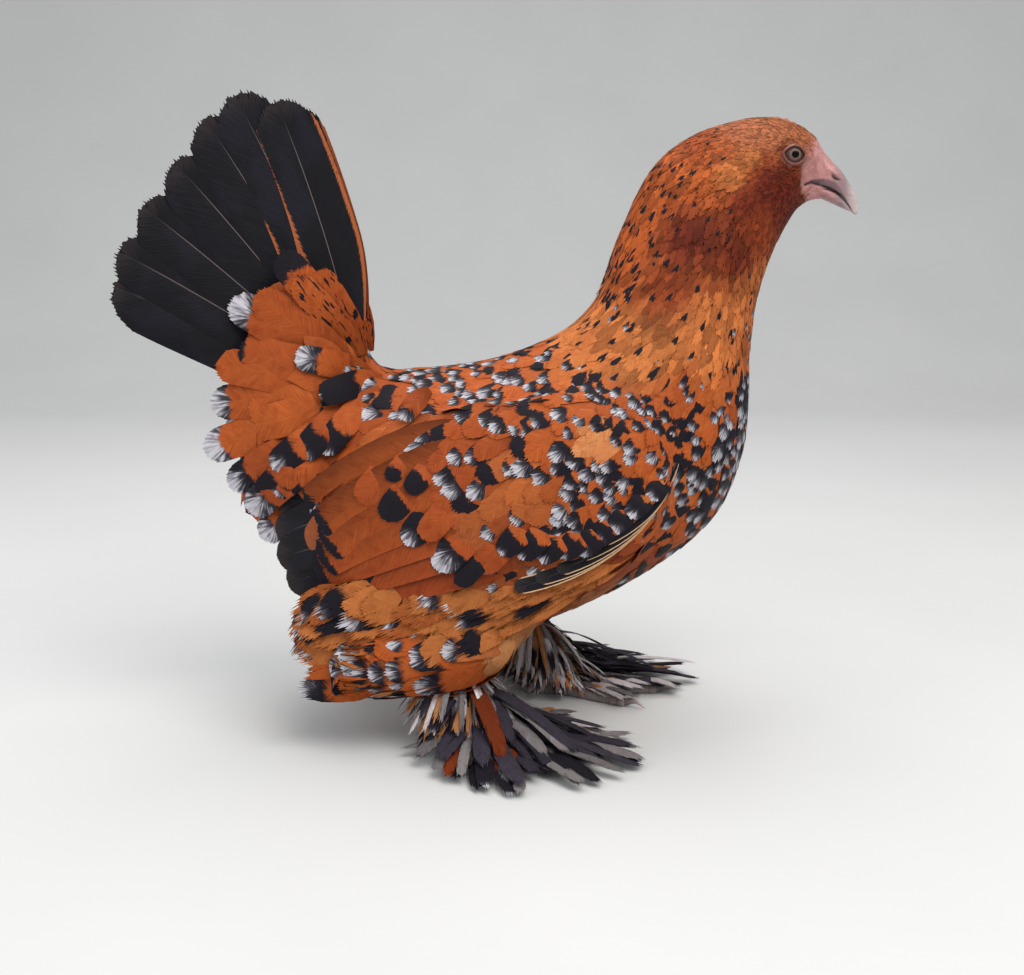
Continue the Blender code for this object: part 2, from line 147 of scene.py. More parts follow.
COAT_VALUES = np.array(
    [
        (math.cos(math.radians(row[2])), math.sin(math.radians(row[2])), *row[3:7], *GROUND[row[7]])
        for row in COAT
    ]
)

# The body's rings from rump to face, for the unwrap: upper outline x, z; lower outline x, z
RINGS = np.array(
    [
        (-76, 128, -86, 88), (-64, 139, -80, 64), (-48, 146, -66, 50), (-26, 148, -39, 42),
        (-6, 150, -10, 39), (10, 155, 19, 42), (23, 161, 46, 54), (32, 167, 71, 69), (38, 174, 91, 88),
        (42, 184, 101, 114), (46, 195, 102, 138), (51, 207, 102.5, 160), (56.5, 219, 105, 177),
        (65, 230, 109, 190), (78, 238.5, 113.5, 200), (92.5, 243, 116.5, 205.5), (103.5, 245, 118, 208.5),
        (113.5, 242.5, 119, 210.3), (121.5, 237, 119.7, 211.5), (126, 231, 120.5, 212.2),
    ],
    float,
)
TAIL_ROOT = np.array([-48.55, 136.0])  # x, z that the tail's feathers spread from
GOLD_SPOT = (44.4, 130.2)  # a plain golden spot on the shoulder
RUFFLED = (85.0, 208.0)  # the middle of the side of the neck, where feathers stand up a little
EYE_LOW, EYE_HIGH = (np.array(v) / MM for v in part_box("eye_left"))
EYE = (EYE_LOW + EYE_HIGH) / 2
EYE_RADIUS = (EYE_HIGH - EYE_LOW)[0] / 2
EYE_OPENING = (3.15, 2.85)
CAMERA = (6.45, -520.0, 197.0)
CAMERA_TILT = 10.8  # degrees down
CAMERA_LENS = 45.703


# ---------------------------------------------------------------- small maths
def unit(v):
    return v / np.maximum(np.linalg.norm(v, axis=-1, keepdims=True), 1e-9)


def heading_of(turn):
    """The flat way that lies this many radians round from straight ahead."""
    return np.array([math.cos(turn), math.sin(turn)])


def ramp(x, low, high):
    """0 below low, 1 above high and smooth between."""
    t = np.clip((x - low) / (high - low), 0, 1)
    return t * t * (3 - 2 * t)


def mixed(a, b, share):
    return a * (1 - share[..., None]) + b * share[..., None]


def plain(colour, n):
    """One of the ground colours, n times."""
    return np.tile(GROUND[colour], (n, 1))


def near(p, place, radius):
    """1 at a place and 0 beyond radius, seen from the side. place is x, z."""
    return 1 - ramp(np.hypot(p[..., 0] - place[0], p[..., 2] - place[1]), 0.4 * radius, radius)


def wave(p, scale, seed):
    """Smooth noise from 0 to 1 made of a few crossing waves."""
    total = 0
    for i in range(5):
        turn = np.array([seed + 2.3 * i, 1.7 * seed + 3.1 * i + 1.57, 0.6 * seed + 5.2 * i])
        total = total + np.sin(p @ np.sin(turn) * (1 + 0.37 * i) / scale + seed * (i + 1))
    return np.clip(0.5 + total / 6, 0, 1)


def coat_at(p):
    """The coat's table at each place: the lie seen from the side, sizes, shares and ground colour."""
    d2 = (p[:, :1] - COAT_AT[:, 0]) ** 2 + (p[:, 2:3] - COAT_AT[:, 1]) ** 2
    weight = (d2 + 25.0) ** -2
    v = (weight / weight.sum(1, keepdims=True)) @ COAT_VALUES
    lie = unit(np.column_stack([v[:, 0], np.zeros(len(p)), v[:, 1]]))
    return {
        "lie": lie, "length": v[:, 2], "width": v[:, 3], "spots": v[:, 4], "whites": v[:, 5],
        "ground": v[:, 6:9],
    }


def coat_depth(width):
    """How thick the coat is, from the width of its feathers."""
    return 0.35 + 0.18 * np.minimum(width, 10)


# ---------------------------------------------------------------- meshes
def mesh_object(name, co, faces, material=None):
    """An object from points in millimetres and an array of quads or triangles."""
    faces = np.asarray(faces, np.int32)
    mesh = bpy.data.meshes.new(name)
    mesh.vertices.add(len(co))
    mesh.vertices.foreach_set("co", (np.asarray(co) * MM).astype(np.float32).ravel())
    mesh.loops.add(faces.size)
    mesh.loops.foreach_set("vertex_index", faces.ravel())
    mesh.polygons.add(len(faces))
    mesh.polygons.foreach_set("loop_start", np.arange(0, faces.size, faces.shape[1], dtype=np.int32))
    mesh.polygons.foreach_set("use_smooth", np.ones(len(faces), bool))
    mesh.update(calc_edges=True)
    if material:
        mesh.materials.append(material)
    obj = bpy.data.objects.new(name, mesh)
    bpy.context.scene.collection.objects.link(obj)
    return obj


def add_uv(obj, name, uv):
    """A UV map from one value a vertex."""
    mesh = obj.data
    index = np.zeros(len(mesh.loops), np.int32)
    mesh.loops.foreach_get("vertex_index", index)
    layer = mesh.uv_layers.new(name=name)
    layer.data.foreach_set("uv", np.asarray(uv, np.float32)[index].ravel())


def add_colour(obj, name, values):
    layer = obj.data.attributes.new(name, "FLOAT_COLOR", "POINT")
    layer.data.foreach_set("color", np.asarray(values, np.float32).ravel())


def read(mesh_data, what, width, kind=np.float32):
    out = np.zeros(len(mesh_data) * width, kind)
    mesh_data.foreach_get(what, out)
    return out.reshape(-1, width)


def points_of(mesh):
    return read(mesh.vertices, "co", 3).astype(float) / MM


def tree_of(co, tri):
    """A tree that finds places on triangles."""
    return BVHTree.FromPolygons([tuple(c) for c in co], [tuple(t) for t in tri])


def normals_of(mesh):
    return read(mesh.vertices, "normal", 3).astype(float)


def triangles_of(mesh):
    mesh.calc_loop_triangles()
    return read(mesh.loop_triangles, "vertices", 3, np.int32)


def set_points(mesh, p):
    mesh.vertices.foreach_set("co", (p * MM).astype(np.float32).ravel())
    mesh.update()


def smoothed(co, edges, rounds, amount=0.5):
    """Points moved towards the mean of their neighbours."""
    count = np.bincount(edges.ravel(), minlength=len(co))
    for _ in range(rounds):
        total = np.zeros_like(co)
        for axis in range(3):
            total[:, axis] += np.bincount(edges[:, 0], co[edges[:, 1], axis], len(co))
            total[:, axis] += np.bincount(edges[:, 1], co[edges[:, 0], axis], len(co))
        co = co + amount * (total / np.maximum(count, 1)[:, None] - co)
    return co


def finish_piece(obj, slot, *replaced):
    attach(obj, "root")
    if replaced:
        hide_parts(*replaced)


# ---------------------------------------------------------------- materials
class Shader:
    """A small helper for node materials."""

    def __init__(self, name, roughness=0.5, specular=0.3):
        self.material = bpy.data.materials.new(name)
        self.material.use_nodes = True
        self.tree = self.material.node_tree
        self.bsdf = self.tree.nodes["Principled BSDF"]
        self.bsdf.inputs["Roughness"].default_value = roughness
        self.bsdf.inputs["Specular IOR Level"].default_value = specular

    def put(self, socket, value):
        if isinstance(value, bpy.types.NodeSocket):
            self.tree.links.new(value, socket)
        elif isinstance(value, (tuple, list, np.ndarray)) and len(value) == 3 and socket.type == "RGBA":
            socket.default_value = (*value, 1)
        elif value is not None:
            socket.default_value = value

    def node(self, kind, out=0, **inputs):
        made = self.tree.nodes.new(kind)
        for key, value in inputs.items():
            self.put(made.inputs[key], value)
        return made.outputs[out]

    def math(self, operation, a, b=None, c=None):
        made = self.tree.nodes.new("ShaderNodeMath")
        made.operation = operation
        for socket, value in zip(made.inputs, (a, b, c)):
            self.put(socket, value)
        return made.outputs[0]

    def add(self, a, b):
        return self.math("ADD", a, b)

    def sub(self, a, b):
        return self.math("SUBTRACT", a, b)

    def mul(self, a, b):
        return self.math("MULTIPLY", a, b)

    def step(self, value, low, high):
        """0 to 1 as value passes from low to high, smoothly."""
        made = self.tree.nodes.new("ShaderNodeMapRange")
        made.interpolation_type = "SMOOTHSTEP"
        for socket, v in zip(made.inputs, (value, low, high, 0.0, 1.0)):
            self.put(socket, v)
        return made.outputs[0]

    def mix(self, share, a, b, blend="MIX"):
        made = self.tree.nodes.new("ShaderNodeMix")
        made.data_type = "RGBA"
        made.blend_type = blend
        self.put(made.inputs[0], share)
        self.put(made.inputs[6], a)
        self.put(made.inputs[7], b)
        return made.outputs[2]

    def tinted(self, colour, tone):
        """A colour times a plain number."""
        grey = self.node("ShaderNodeCombineColor", 0, Red=tone, Green=tone, Blue=tone)
        return self.mix(1.0, colour, grey, "MULTIPLY")

    def noise(self, vector, scale, detail=2.0):
        return self.node("ShaderNodeTexNoise", 0, Vector=vector, Scale=scale, Detail=detail)

    def vector(self, x, y, z=0.0):
        return self.node("ShaderNodeCombineXYZ", 0, X=x, Y=y, Z=z)

    def uv(self, name):
        made = self.tree.nodes.new("ShaderNodeUVMap")
        made.uv_map = name
        split = self.tree.nodes.new("ShaderNodeSeparateXYZ")
        self.tree.links.new(made.outputs[0], split.inputs[0])
        return split.outputs

    def attribute(self, name):
        """An attribute's colour, its three parts and its alpha."""
        made = self.tree.nodes.new("ShaderNodeAttribute")
        made.attribute_name = name
        split = self.tree.nodes.new("ShaderNodeSeparateColor")
        self.tree.links.new(made.outputs["Color"], split.inputs[0])
        return made.outputs["Color"], split.outputs, made.outputs["Alpha"]

    def place(self):
        """The point's place in metres in the model's frame."""
        return self.node("ShaderNodeTexCoord", 3)

    def set(self, colour, height=None, distance=0.0002, strength=0.7, roughness=None):
        self.put(self.bsdf.inputs["Base Color"], colour)
        self.put(self.bsdf.inputs["Roughness"], roughness)
        if height is not None:
            made = self.tree.nodes.new("ShaderNodeBump")
            made.inputs["Strength"].default_value = strength
            made.inputs["Distance"].default_value = distance
            self.put(made.inputs["Height"], height)
            self.put(self.bsdf.inputs["Normal"], made.outputs[0])
        return self.material


def vane_coordinates(s, slant):
    """Distances in mm on a vane: along it, out from the shaft and along a barb's foot; streaks of barbs."""
    uv = s.uv("FeatherUV")
    ground, _, chance = s.attribute("Ground")
    size = s.attribute("Size")[1]
    length, width = s.mul(size[0], 10.0), s.mul(size[1], 10.0)
    signed = s.math("MULTIPLY_ADD", uv[0], 2.0, -1.0)
    across = s.math("ABSOLUTE", signed)
    a = s.mul(uv[1], length)
    b = s.mul(across, s.mul(width, 0.5))
    foot = s.sub(a, s.mul(b, slant))
    seed = s.add(s.mul(chance, 91.0), s.math("GREATER_THAN", uv[0], 0.5))
    streak = s.noise(s.vector(s.mul(foot, 1.6), s.mul(b, 0.15), seed), 1.0, 4.0)
    fine = s.noise(s.vector(s.mul(foot, 5.0), s.mul(b, 0.25), seed), 1.0, 3.0)
    spread = s.math("ARCTAN2", b, s.sub(a, s.sub(length, s.mul(width, 0.9))))
    rays = s.noise(s.vector(s.mul(spread, 9.0), s.mul(a, 0.15), seed), 1.0, 4.0)
    return dict(
        v=uv[1], signed=signed, across=across, a=a, b=b, foot=foot, seed=seed, streak=streak, fine=fine,
        rays=rays, length=length, width=width, speckle=size[2], ground=ground,
    )


def feather_material():
    """Contour feathers: ground colour, black spot, white fan at the tip, specks, barbs and shaft, and painted
    shade towards the root.

    Ground is the vane's colour, with painted light and shade across it where lit is given, and a random
    number.
    Mark is where the black starts, the white fan's size, how the black's border bends and how fluffy the vane
    is. Size is length and width in centimetres and specks.
    """
    s = Shader("vane", 0.65, 0.1)
    q = vane_coordinates(s, 0.95)
    mark, fluff = s.attribute("Mark")[1:]
    rough = s.mul(s.sub(q["streak"], 0.5), 3.0)
    blotch = s.noise(s.vector(s.mul(q["a"], 0.25), s.mul(q["b"], 0.25), q["seed"]), 1.0, 2.0)
    bend = s.mul(s.mul(q["across"], q["across"]), s.mul(s.sub(mark[2], 0.5), s.mul(q["width"], 4.0)))
    reach = s.add(s.add(q["a"], rough), s.add(s.mul(s.sub(blotch, 0.5), 5.0), bend))
    soft = s.math("MULTIPLY_ADD", fluff, 1.6, 0.45)
    black = s.step(s.sub(reach, s.mul(mark[0], q["length"])), s.mul(soft, -1.0), soft)
    fan_size = s.mul(s.add(mark[1], 0.001), q["width"])
    to_tip = s.math("DIVIDE", s.sub(q["length"], q["a"]), s.mul(fan_size, 0.44))
    to_side = s.math("DIVIDE", q["b"], s.mul(fan_size, 0.40))
    fan = s.math("SQRT", s.add(s.mul(to_tip, to_tip), s.mul(to_side, to_side)))
    fan = s.add(fan, s.mul(s.sub(q["rays"], 0.5), 2.3))
    fan = s.add(fan, s.mul(s.sub(blotch, 0.5), 1.2))
    white = s.sub(1.0, s.step(fan, 0.45, 1.35))
    specks = s.noise(s.vector(s.mul(q["a"], 0.20), s.mul(q["b"], 0.8), q["seed"]), 1.0, 1.0)
    black = s.math(
        "MAXIMUM", black, s.mul(s.step(specks, 0.58, 0.62), s.math("GREATER_THAN", q["speckle"], 0.5)),
    )
    base = s.tinted(q["ground"], s.math("MULTIPLY_ADD", q["fine"], 0.6, 0.70))
    dusk = s.mix(1.0, base, (0.62, 0.44, 0.34), "MULTIPLY")
    glow = s.mix(1.0, base, (1.3, 1.55, 1.85), "MULTIPLY")
    base = s.mix(s.mul(s.step(blotch, 0.45, 0.75), 0.45), base, dusk)
    base = s.mix(s.mul(s.step(q["streak"], 0.56, 0.72), 0.55), base, dusk)
    base = s.mix(s.mul(s.step(q["streak"], 0.44, 0.30), 0.65), base, glow)
    shaft = s.sub(1.0, s.step(q["b"], 0.06, 0.22))
    base = s.mix(s.mul(shaft, 0.22), base, glow)
    dark = s.mix(q["fine"], (0.004, 0.003, 0.005), (0.016, 0.013, 0.019))
    dark = s.mix(s.step(fan, 1.9, 1.1), dark, s.mix(q["rays"], (0.006, 0.005, 0.008), (0.07, 0.065, 0.08)))
    pale = s.mix(s.step(q["rays"], 0.36, 0.66), (0.50, 0.48, 0.52), (0.31, 0.295, 0.32))
    colour = s.mix(s.mul(white, black), s.mix(black, base, dark), pale)
    # painted shade: the vane darker towards its root, under the feathers that lie over it
    colour = s.tinted(colour, s.math("MULTIPLY_ADD", s.step(q["v"], 0.05, 0.5), 0.25, 0.75))
    ridges = s.math("SINE", s.mul(q["foot"], 2 * math.pi / 0.7))
    height = s.add(s.mul(ridges, 0.12), s.mul(q["streak"], 1.2))
    height = s.add(height, s.mul(s.sub(1.0, s.step(q["b"], 0.1, 0.45)), 0.4))
    return s.set(colour, height, 0.00012, 0.6, s.math("MULTIPLY_ADD", fluff, 0.25, 0.6))


def quill_material():
    """Flight and tail feathers: black vanes, thin pale shafts, worn brown tips and coloured edges.

    Mark is the width of the orange front edge, of the orange rear edge and of the cream front edge, as shares
    of half the vane, and how far up the rear edge is orange.
    """
    s = Shader("quill", 0.5, 0.12)
    q = vane_coordinates(s, 1.2)
    mark, rear_end = s.attribute("Mark")[1:]
    patch = s.noise(s.vector(s.mul(q["a"], 0.05), s.mul(q["b"], 0.08), q["seed"]), 1.0)
    body = s.mix(q["fine"], (0.002, 0.002, 0.003), (0.010, 0.009, 0.013))
    body = s.mix(s.mul(s.step(patch, 0.45, 0.7), 0.6), body, (0.011, 0.011, 0.019))
    wobble = s.mul(s.sub(q["streak"], 0.5), 0.20)
    worn = s.step(s.add(q["v"], s.mul(wobble, 0.8)), 0.88, 1.02)
    body = s.mix(s.mul(worn, 0.45), body, (0.055, 0.038, 0.036))
    ember = s.mix(q["fine"], (0.24, 0.055, 0.015), (0.46, 0.14, 0.05))
    front = s.sub(s.mul(s.add(q["signed"], wobble), -1.0), s.sub(1.0, mark[0]))
    body = s.mix(s.mul(s.step(front, 0.0, 0.05), s.math("GREATER_THAN", mark[0], 0.01)), body, ember)
    narrowing = s.mul(mark[1], s.sub(1.25, q["v"]))
    rear = s.sub(s.add(q["signed"], wobble), s.sub(1.0, narrowing))
    held = s.mul(
        s.sub(1.0, s.step(q["v"], s.sub(rear_end, 0.04), rear_end)), s.math("GREATER_THAN", mark[1], 0.01),
    )
    body = s.mix(s.mul(s.step(rear, 0.0, 0.05), held), body, ember)
    cream = s.step(s.sub(s.add(q["across"], s.mul(wobble, 0.4)), s.sub(1.0, mark[2])), 0.0, 0.06)
    body = s.mix(s.mul(cream, s.math("GREATER_THAN", mark[2], 0.01)), body, (0.60, 0.38, 0.22))
    shaft = s.sub(1.0, s.step(q["b"], 0.10, 0.26))
    colour = s.mix(s.mul(s.mul(shaft, 0.6), s.sub(1.0, s.step(q["v"], 0.70, 0.95))), body, (0.20, 0.16, 0.15))
    ridges = s.math("SINE", s.mul(q["foot"], 2 * math.pi / 0.9))
    height = s.add(s.mul(ridges, 0.25), s.mul(q["streak"], 1.3))
    height = s.add(height, s.mul(s.sub(1.0, s.step(q["b"], 0.15, 0.6)), 1.4))
    return s.set(colour, height, 0.00016, 0.7)


def skin_material():
    """Skin under the coat and bare on the face, with pores, small folds and a flush of red."""
    s = Shader("skin_surface", 0.55, 0.25)
    tint, _, bare = s.attribute("Skin")
    cells = s.node("ShaderNodeTexVoronoi", 0, Vector=s.place(), Scale=1700.0)
    lumps = s.noise(s.place(), 520.0, 4.0)
    colour = s.tinted(tint, s.math("MULTIPLY_ADD", lumps, 0.7, 0.65))
    red = s.mul(s.mul(s.step(cells, 0.30, 0.62), bare), 0.45)
    colour = s.mix(red, colour, s.mix(1.0, colour, (0.80, 0.50, 0.46), "MULTIPLY"))
    height = s.add(s.mul(cells, s.mul(bare, -0.8)), s.mul(lumps, 1.2))
    return s.set(colour, height, 0.00025, 0.8)


def horn_material():
    """Bill and claws, with growth lines along them and small stains."""
    s = Shader("horn", 0.35, 0.4)
    tint = s.attribute("Horn")[0]
    lines = s.noise(s.node("ShaderNodeMapping", 0, Vector=s.place(), Scale=(1.0, 2.0, 2.4)), 330.0, 5.0)
    spots = s.noise(s.place(), 900.0, 3.0)
    colour = s.tinted(tint, s.math("MULTIPLY_ADD", lines, 0.7, 0.62))
    colour = s.mix(s.mul(s.step(spots, 0.55, 0.72), 0.3), colour, (0.16, 0.10, 0.11))
    return s.set(
        colour, s.add(lines, s.mul(spots, 0.4)), 0.00025, 0.6, s.math("MULTIPLY_ADD", lines, 0.25, 0.26),
    )


def scute_material():
    """Shank and toes: slate scutes with dark seams and dust."""
    s = Shader("scutes", 0.5, 0.3)
    part = s.attribute("Scute")[1]
    cells = s.noise(s.place(), 700.0, 4.0)
    colour = s.mix(cells, (0.12, 0.105, 0.11), (0.27, 0.245, 0.25))
    colour = s.mix(s.step(part[0], 0.55, 0.95), colour, (0.06, 0.05, 0.05))
    colour = s.mix(s.mul(part[1], 0.5), colour, (0.38, 0.30, 0.25))
    return s.set(colour, s.sub(s.mul(cells, 0.8), part[0]), 0.0003, 0.6)


def eye_material():
    """Iris, pupil and dark rim from the place on the ball, under a wet coat."""
    s = Shader("eye_ball", 0.4, 0.05)
    s.bsdf.inputs["Coat Weight"].default_value = 0.12
    s.bsdf.inputs["Coat Roughness"].default_value = 0.04
    uv = s.uv("EyeUV")
    r = s.math("SQRT", s.add(s.mul(uv[0], uv[0]), s.mul(uv[1], uv[1])))
    turn = s.math("ARCTAN2", uv[1], uv[0])
    rays = s.noise(s.vector(s.mul(turn, 9.0), s.mul(r, 1.2), 3.0), 1.0, 3.0)
    iris = s.mix(rays, (0.10, 0.052, 0.043), (0.22, 0.135, 0.115))
    iris = s.mix(s.step(r, 0.42, 0.74), iris, (0.055, 0.032, 0.028))
    return s.set(s.mix(s.step(r, 0.33, 0.38), (0.001, 0.001, 0.001), iris))


def floor_material():
    s = Shader("floor", 0.8, 0.2)
    return s.set(s.mix(s.noise(s.place(), 6.0, 3.0), (0.56, 0.56, 0.55), (0.62, 0.62, 0.61)))


# ---------------------------------------------------------------- the skin
FLESH = ["trunk", "neck", "head", "tail_coverts"]
FLESH += [f"{part}_{side}" for part in ("wing", "thigh", "hock_plume") for side in ("left", "right")]
FACE_PARTS = ["eye_left", "eye_right", "bill_upper", "bill_lower"]
FIRST_VOXEL, LAST_VOXEL = 2.2, 1.9
CREASE = 2.6  # creases and gaps up to twice this are closed by the skin


def remeshed(co, tri, voxel):
    """One closed mesh round all the triangles."""
    raw = mesh_object("raw", co, tri)
    modifier = raw.modifiers.new("voxels", "REMESH")
    modifier.mode = "VOXEL"
    modifier.voxel_size = voxel * MM
    bpy.context.view_layer.update()
    made = bpy.data.meshes.new_from_object(raw.evaluated_get(bpy.context.evaluated_depsgraph_get()))
    bpy.data.objects.remove(raw, do_unlink=True)
    return made


def edges_of(mesh):
    return read(mesh.edges, "vertices", 2, np.int32)


def make_skin():
    """All flesh as one mesh with its creases closed, drawn in by the coat's depth, finest round the eyes."""
    co, tri, at = [], [], 0
    for name in FLESH + FACE_PARTS:
        mesh = NODES[name].data
        co.append(points_of(mesh))
        tri.append(triangles_of(mesh) + at)
        at += len(co[-1])
    mesh = remeshed(np.concatenate(co), np.concatenate(tri), FIRST_VOXEL)
    p = smoothed(points_of(mesh), edges_of(mesh), 3)
    set_points(mesh, p)
    p = p + normals_of(mesh) * CREASE
    mesh = remeshed(p, triangles_of(mesh), LAST_VOXEL)
    edges = edges_of(mesh)
    p = smoothed(points_of(mesh), edges, 4)
    depth = coat_depth(coat_at(p)["width"])
    steps = 8
    for _ in range(steps):
        set_points(mesh, p)
        p = smoothed(p - normals_of(mesh) * ((CREASE + depth) / steps)[:, None], edges, 1, 0.4)
    # the folded wings' thin lower ends are left to their feathers
    back = np.interp(p[:, 2], (50, 60, 68, 76), (-60, -70, -77, -90))
    p[:, 0] = np.maximum(p[:, 0], -100 + (back + 100) * ramp(np.abs(p[:, 1]), 7, 13))
    set_points(mesh, p)
    puff = 0.8 * ramp(p[:, 0], 116, 121)
    set_points(mesh, p + normals_of(mesh) * puff[:, None])
    eye = (EYE[0], 0, EYE[2])
    for middle, reach in (((112, 0, 225), 21), (eye, 13), ((123.5, 0, 217.5), 5.5), (eye, 8)):
        refine(mesh, np.array(middle), reach)
    set_points(mesh, sculpt_face(points_of(mesh)))
    mesh.polygons.foreach_set("use_smooth", np.ones(len(mesh.polygons), bool))
    skin = bpy.data.objects.new("skin", mesh)
    bpy.context.scene.collection.objects.link(skin)
    return skin


def refine(mesh, middle, reach):
    """Splits each edge near a place seen from the side in two, and smooths the new points."""
    bm = bmesh.new()
    bm.from_mesh(mesh)
    inside = {v for v in bm.verts if math.hypot(v.co.x / MM - middle[0], v.co.z / MM - middle[2]) < reach}
    edges = [e for e in bm.edges if e.verts[0] in inside and e.verts[1] in inside]
    bmesh.ops.subdivide_edges(bm, edges=edges, cuts=1, use_grid_fill=True)
    bm.to_mesh(mesh)
    bm.free()
    mesh.update()
    p = points_of(mesh)
    near_by = np.hypot(p[:, 0] - middle[0], p[:, 2] - middle[2]) < reach
    set_points(mesh, np.where(near_by[:, None], smoothed(p, edges_of(mesh), 2), p))


def eye_distance(p):
    """Distance from the eye's middle in units of its opening, and in mm, seen from the side."""
    x, z = p[:, 0] - EYE[0], p[:, 2] - EYE[2]
    tilt = math.radians(-8)
    u, v = x * math.cos(tilt) + z * math.sin(tilt), z * math.cos(tilt) - x * math.sin(tilt)
    corner = 1 + 0.16 * np.exp(-((v / 1.3) ** 2))
    return np.hypot(u / (EYE_OPENING[0] * corner), v / EYE_OPENING[1]), np.hypot(x, z)


def mouth_line(x):
    """Height of the line between the closed mandibles."""
    line_x = (118.3, 121.7, 124.3, 127.9, 130.7, 133.1, 135.0, 136.6, 138.3, 140.1)
    return np.interp(x, line_x, (217.4, 218.5, 217.9, 217.2, 216.2, 214.7, 213.5, 211.7, 209.6, 206.9))


def wedge(x):
    """Height of the upper mandible's dark edge above that line, greatest below the nostril."""
    return 0.3 + 2.5 * ramp(x, 117, 130) * (1 - ramp(x, 130.5, 139.5))


# The forehead's profile from the bill up: heights and how far forward
PROFILE_Z = (227, 229.7, 232.4, 234.6, 236.7, 239.0, 240.2, 241.5)
PROFILE_X = (129.9, 128.4, 126.8, 125.4, 123.8, 121.4, 119.0, 116.0)


def sculpt_face(p):
    """Lids with a rim and folds, brow, cheek and the hollow of the lores, pushed into the skin."""
    p = p.copy()
    levels = np.arange(224, 243, 1.0)
    mid = np.abs(p[:, 1]) < 2.0
    front = np.array([p[mid & (np.abs(p[:, 2] - z) < 0.9), 0].max() for z in levels])
    now = np.interp(p[:, 2], levels, front)
    push = np.interp(p[:, 2], PROFILE_Z, PROFILE_X) - now
    push = np.clip(push, -0.5, 5) * ramp(p[:, 0], now - 9, now) * (1 - 0.3 * (p[:, 1] / 6) ** 2)
    p[:, 0] += push * ramp(p[:, 2], 223, 227) * (1 - ramp(p[:, 2], 240, 242))
    sink = 2.2 * ramp(p[:, 0], 126.5, 131.5)
    p[:, 0] -= 0.5 * sink
    p[:, 2] -= 0.5 * sink * np.sign(p[:, 2] - 216)
    p[:, 1] *= 1 - 0.4 * ramp(p[:, 0], 126.5, 131.5)
    face = (np.abs(p[:, 1]) > 5) & (p[:, 0] > 90) & (p[:, 2] > 205)
    d = eye_distance(p)[0]
    rim = face & (d > 0.90) & (d < 1.04)
    p[rim, 0] = EYE[0] + (p[rim, 0] - EYE[0]) / d[rim]
    p[rim, 2] = EYE[2] + (p[rim, 2] - EYE[2]) / d[rim]
    d, r = eye_distance(p)
    out = np.abs(p[:, 1])
    ball = abs(EYE[1]) + np.sqrt(np.maximum(EYE_RADIUS**2 - r**2, 1.4**2))
    lid = ball + 0.16 + 0.42 * ramp(d, 0.99, 1.14) - 0.25 * ramp(d, 1.14, 1.4)
    folds = 0.24 * np.sin(2 * math.pi * (d - 1.12) / 0.40) * np.exp(-(((d - 1.45) / 0.55) ** 2))
    lores = np.exp(-(((p[:, 0] - 121.0) / 4.5) ** 2) - ((p[:, 2] - 223.0) / 4.5) ** 2)
    cheek = np.exp(-(((p[:, 0] - 109.0) / 7.0) ** 2) - ((p[:, 2] - 218.5) / 5.0) ** 2)
    brow = np.exp(-(((p[:, 0] - EYE[0]) / 6.5) ** 2) - ((p[:, 2] - EYE[2] - 5.4) / 1.8) ** 2)
    gape = np.exp(-(((p[:, 2] - mouth_line(p[:, 0])) / 0.6) ** 2)) * (p[:, 0] > 118.3) * (p[:, 0] < 131)
    ridge = (p[:, 0] - 121.2 + 0.25 * (p[:, 2] - 229)) / 0.9
    crease = np.exp(-(ridge**2) - ((p[:, 2] - 230.0) / 5.0) ** 2)
    base = out - 0.8 * lores + 0.6 * cheek + 0.7 * brow - 0.8 * gape - 0.35 * crease
    blend = ramp(d, 1.15, 2.3)
    new = lid * (1 - blend) + base * blend + folds
    new = np.where(d < 0.97, np.minimum(out, ball - 1.3), new)
    p[:, 1] = np.where(face, np.sign(p[:, 1]) * new, p[:, 1])
    return p


def bare_face(p):
    """1 on the bare skin between eye and bill, and on a narrow ring round the eye."""
    x, z = p[:, 0], p[:, 2]
    eye = 1 - ramp(np.hypot((x - EYE[0]) / 4.9, (z - EYE[2]) / 4.6), 0.88, 1.12)
    return np.where(x > 100, np.maximum(eye, ramp(x - face_border(p), -1.6, 1.6)), 0)


def face_border(p):
    """How far back the bare face reaches at each height."""
    z = p[:, 2]
    line = 117.0 + 0.75 * np.maximum(z - 229.5, 0) + 0.6 * np.maximum(217.5 - z, 0)
    return line + 1.2 * (wave(p, 1.1, 5.3) - 0.5)


def coat_ground(p):
    """The coat's ground colour, with the small areas that differ from the table."""
    colour = coat_at(p)["ground"]
    x, z = p[:, 0], p[:, 2]
    colour = mixed(colour, GROUND["deep"], 0.45 * ramp(wave(p, 9.0, 2.1), 0.45, 0.9) * (z < 200))
    colour = mixed(colour, GROUND["gold"], 0.40 * ramp(wave(p, 11.0, 7.7), 0.55, 0.95) * (z < 200))
    colour = mixed(colour, GOLD_PATCH, 0.95 * near(p, GOLD_SPOT, 8))
    colour = mixed(colour, GROUND["tan"] * 1.15, 0.7 * near(p, (92, 223), 8))
    colour = mixed(colour, GROUND["rust"], 0.9 * near(p, (107.5, 218), 9) * (x < 118))
    colour = mixed(colour, GROUND["tan"], 0.8 * near(p, (99, 228.5), 5.5))
    return colour


def ridge_share(p):
    """1 along the small upright fold of the lores."""
    ridge = (p[:, 0] - 121.2 + 0.25 * (p[:, 2] - 229)) / 0.8
    return np.exp(-(ridge**2) - ((p[:, 2] - 230.0) / 4.5) ** 2)


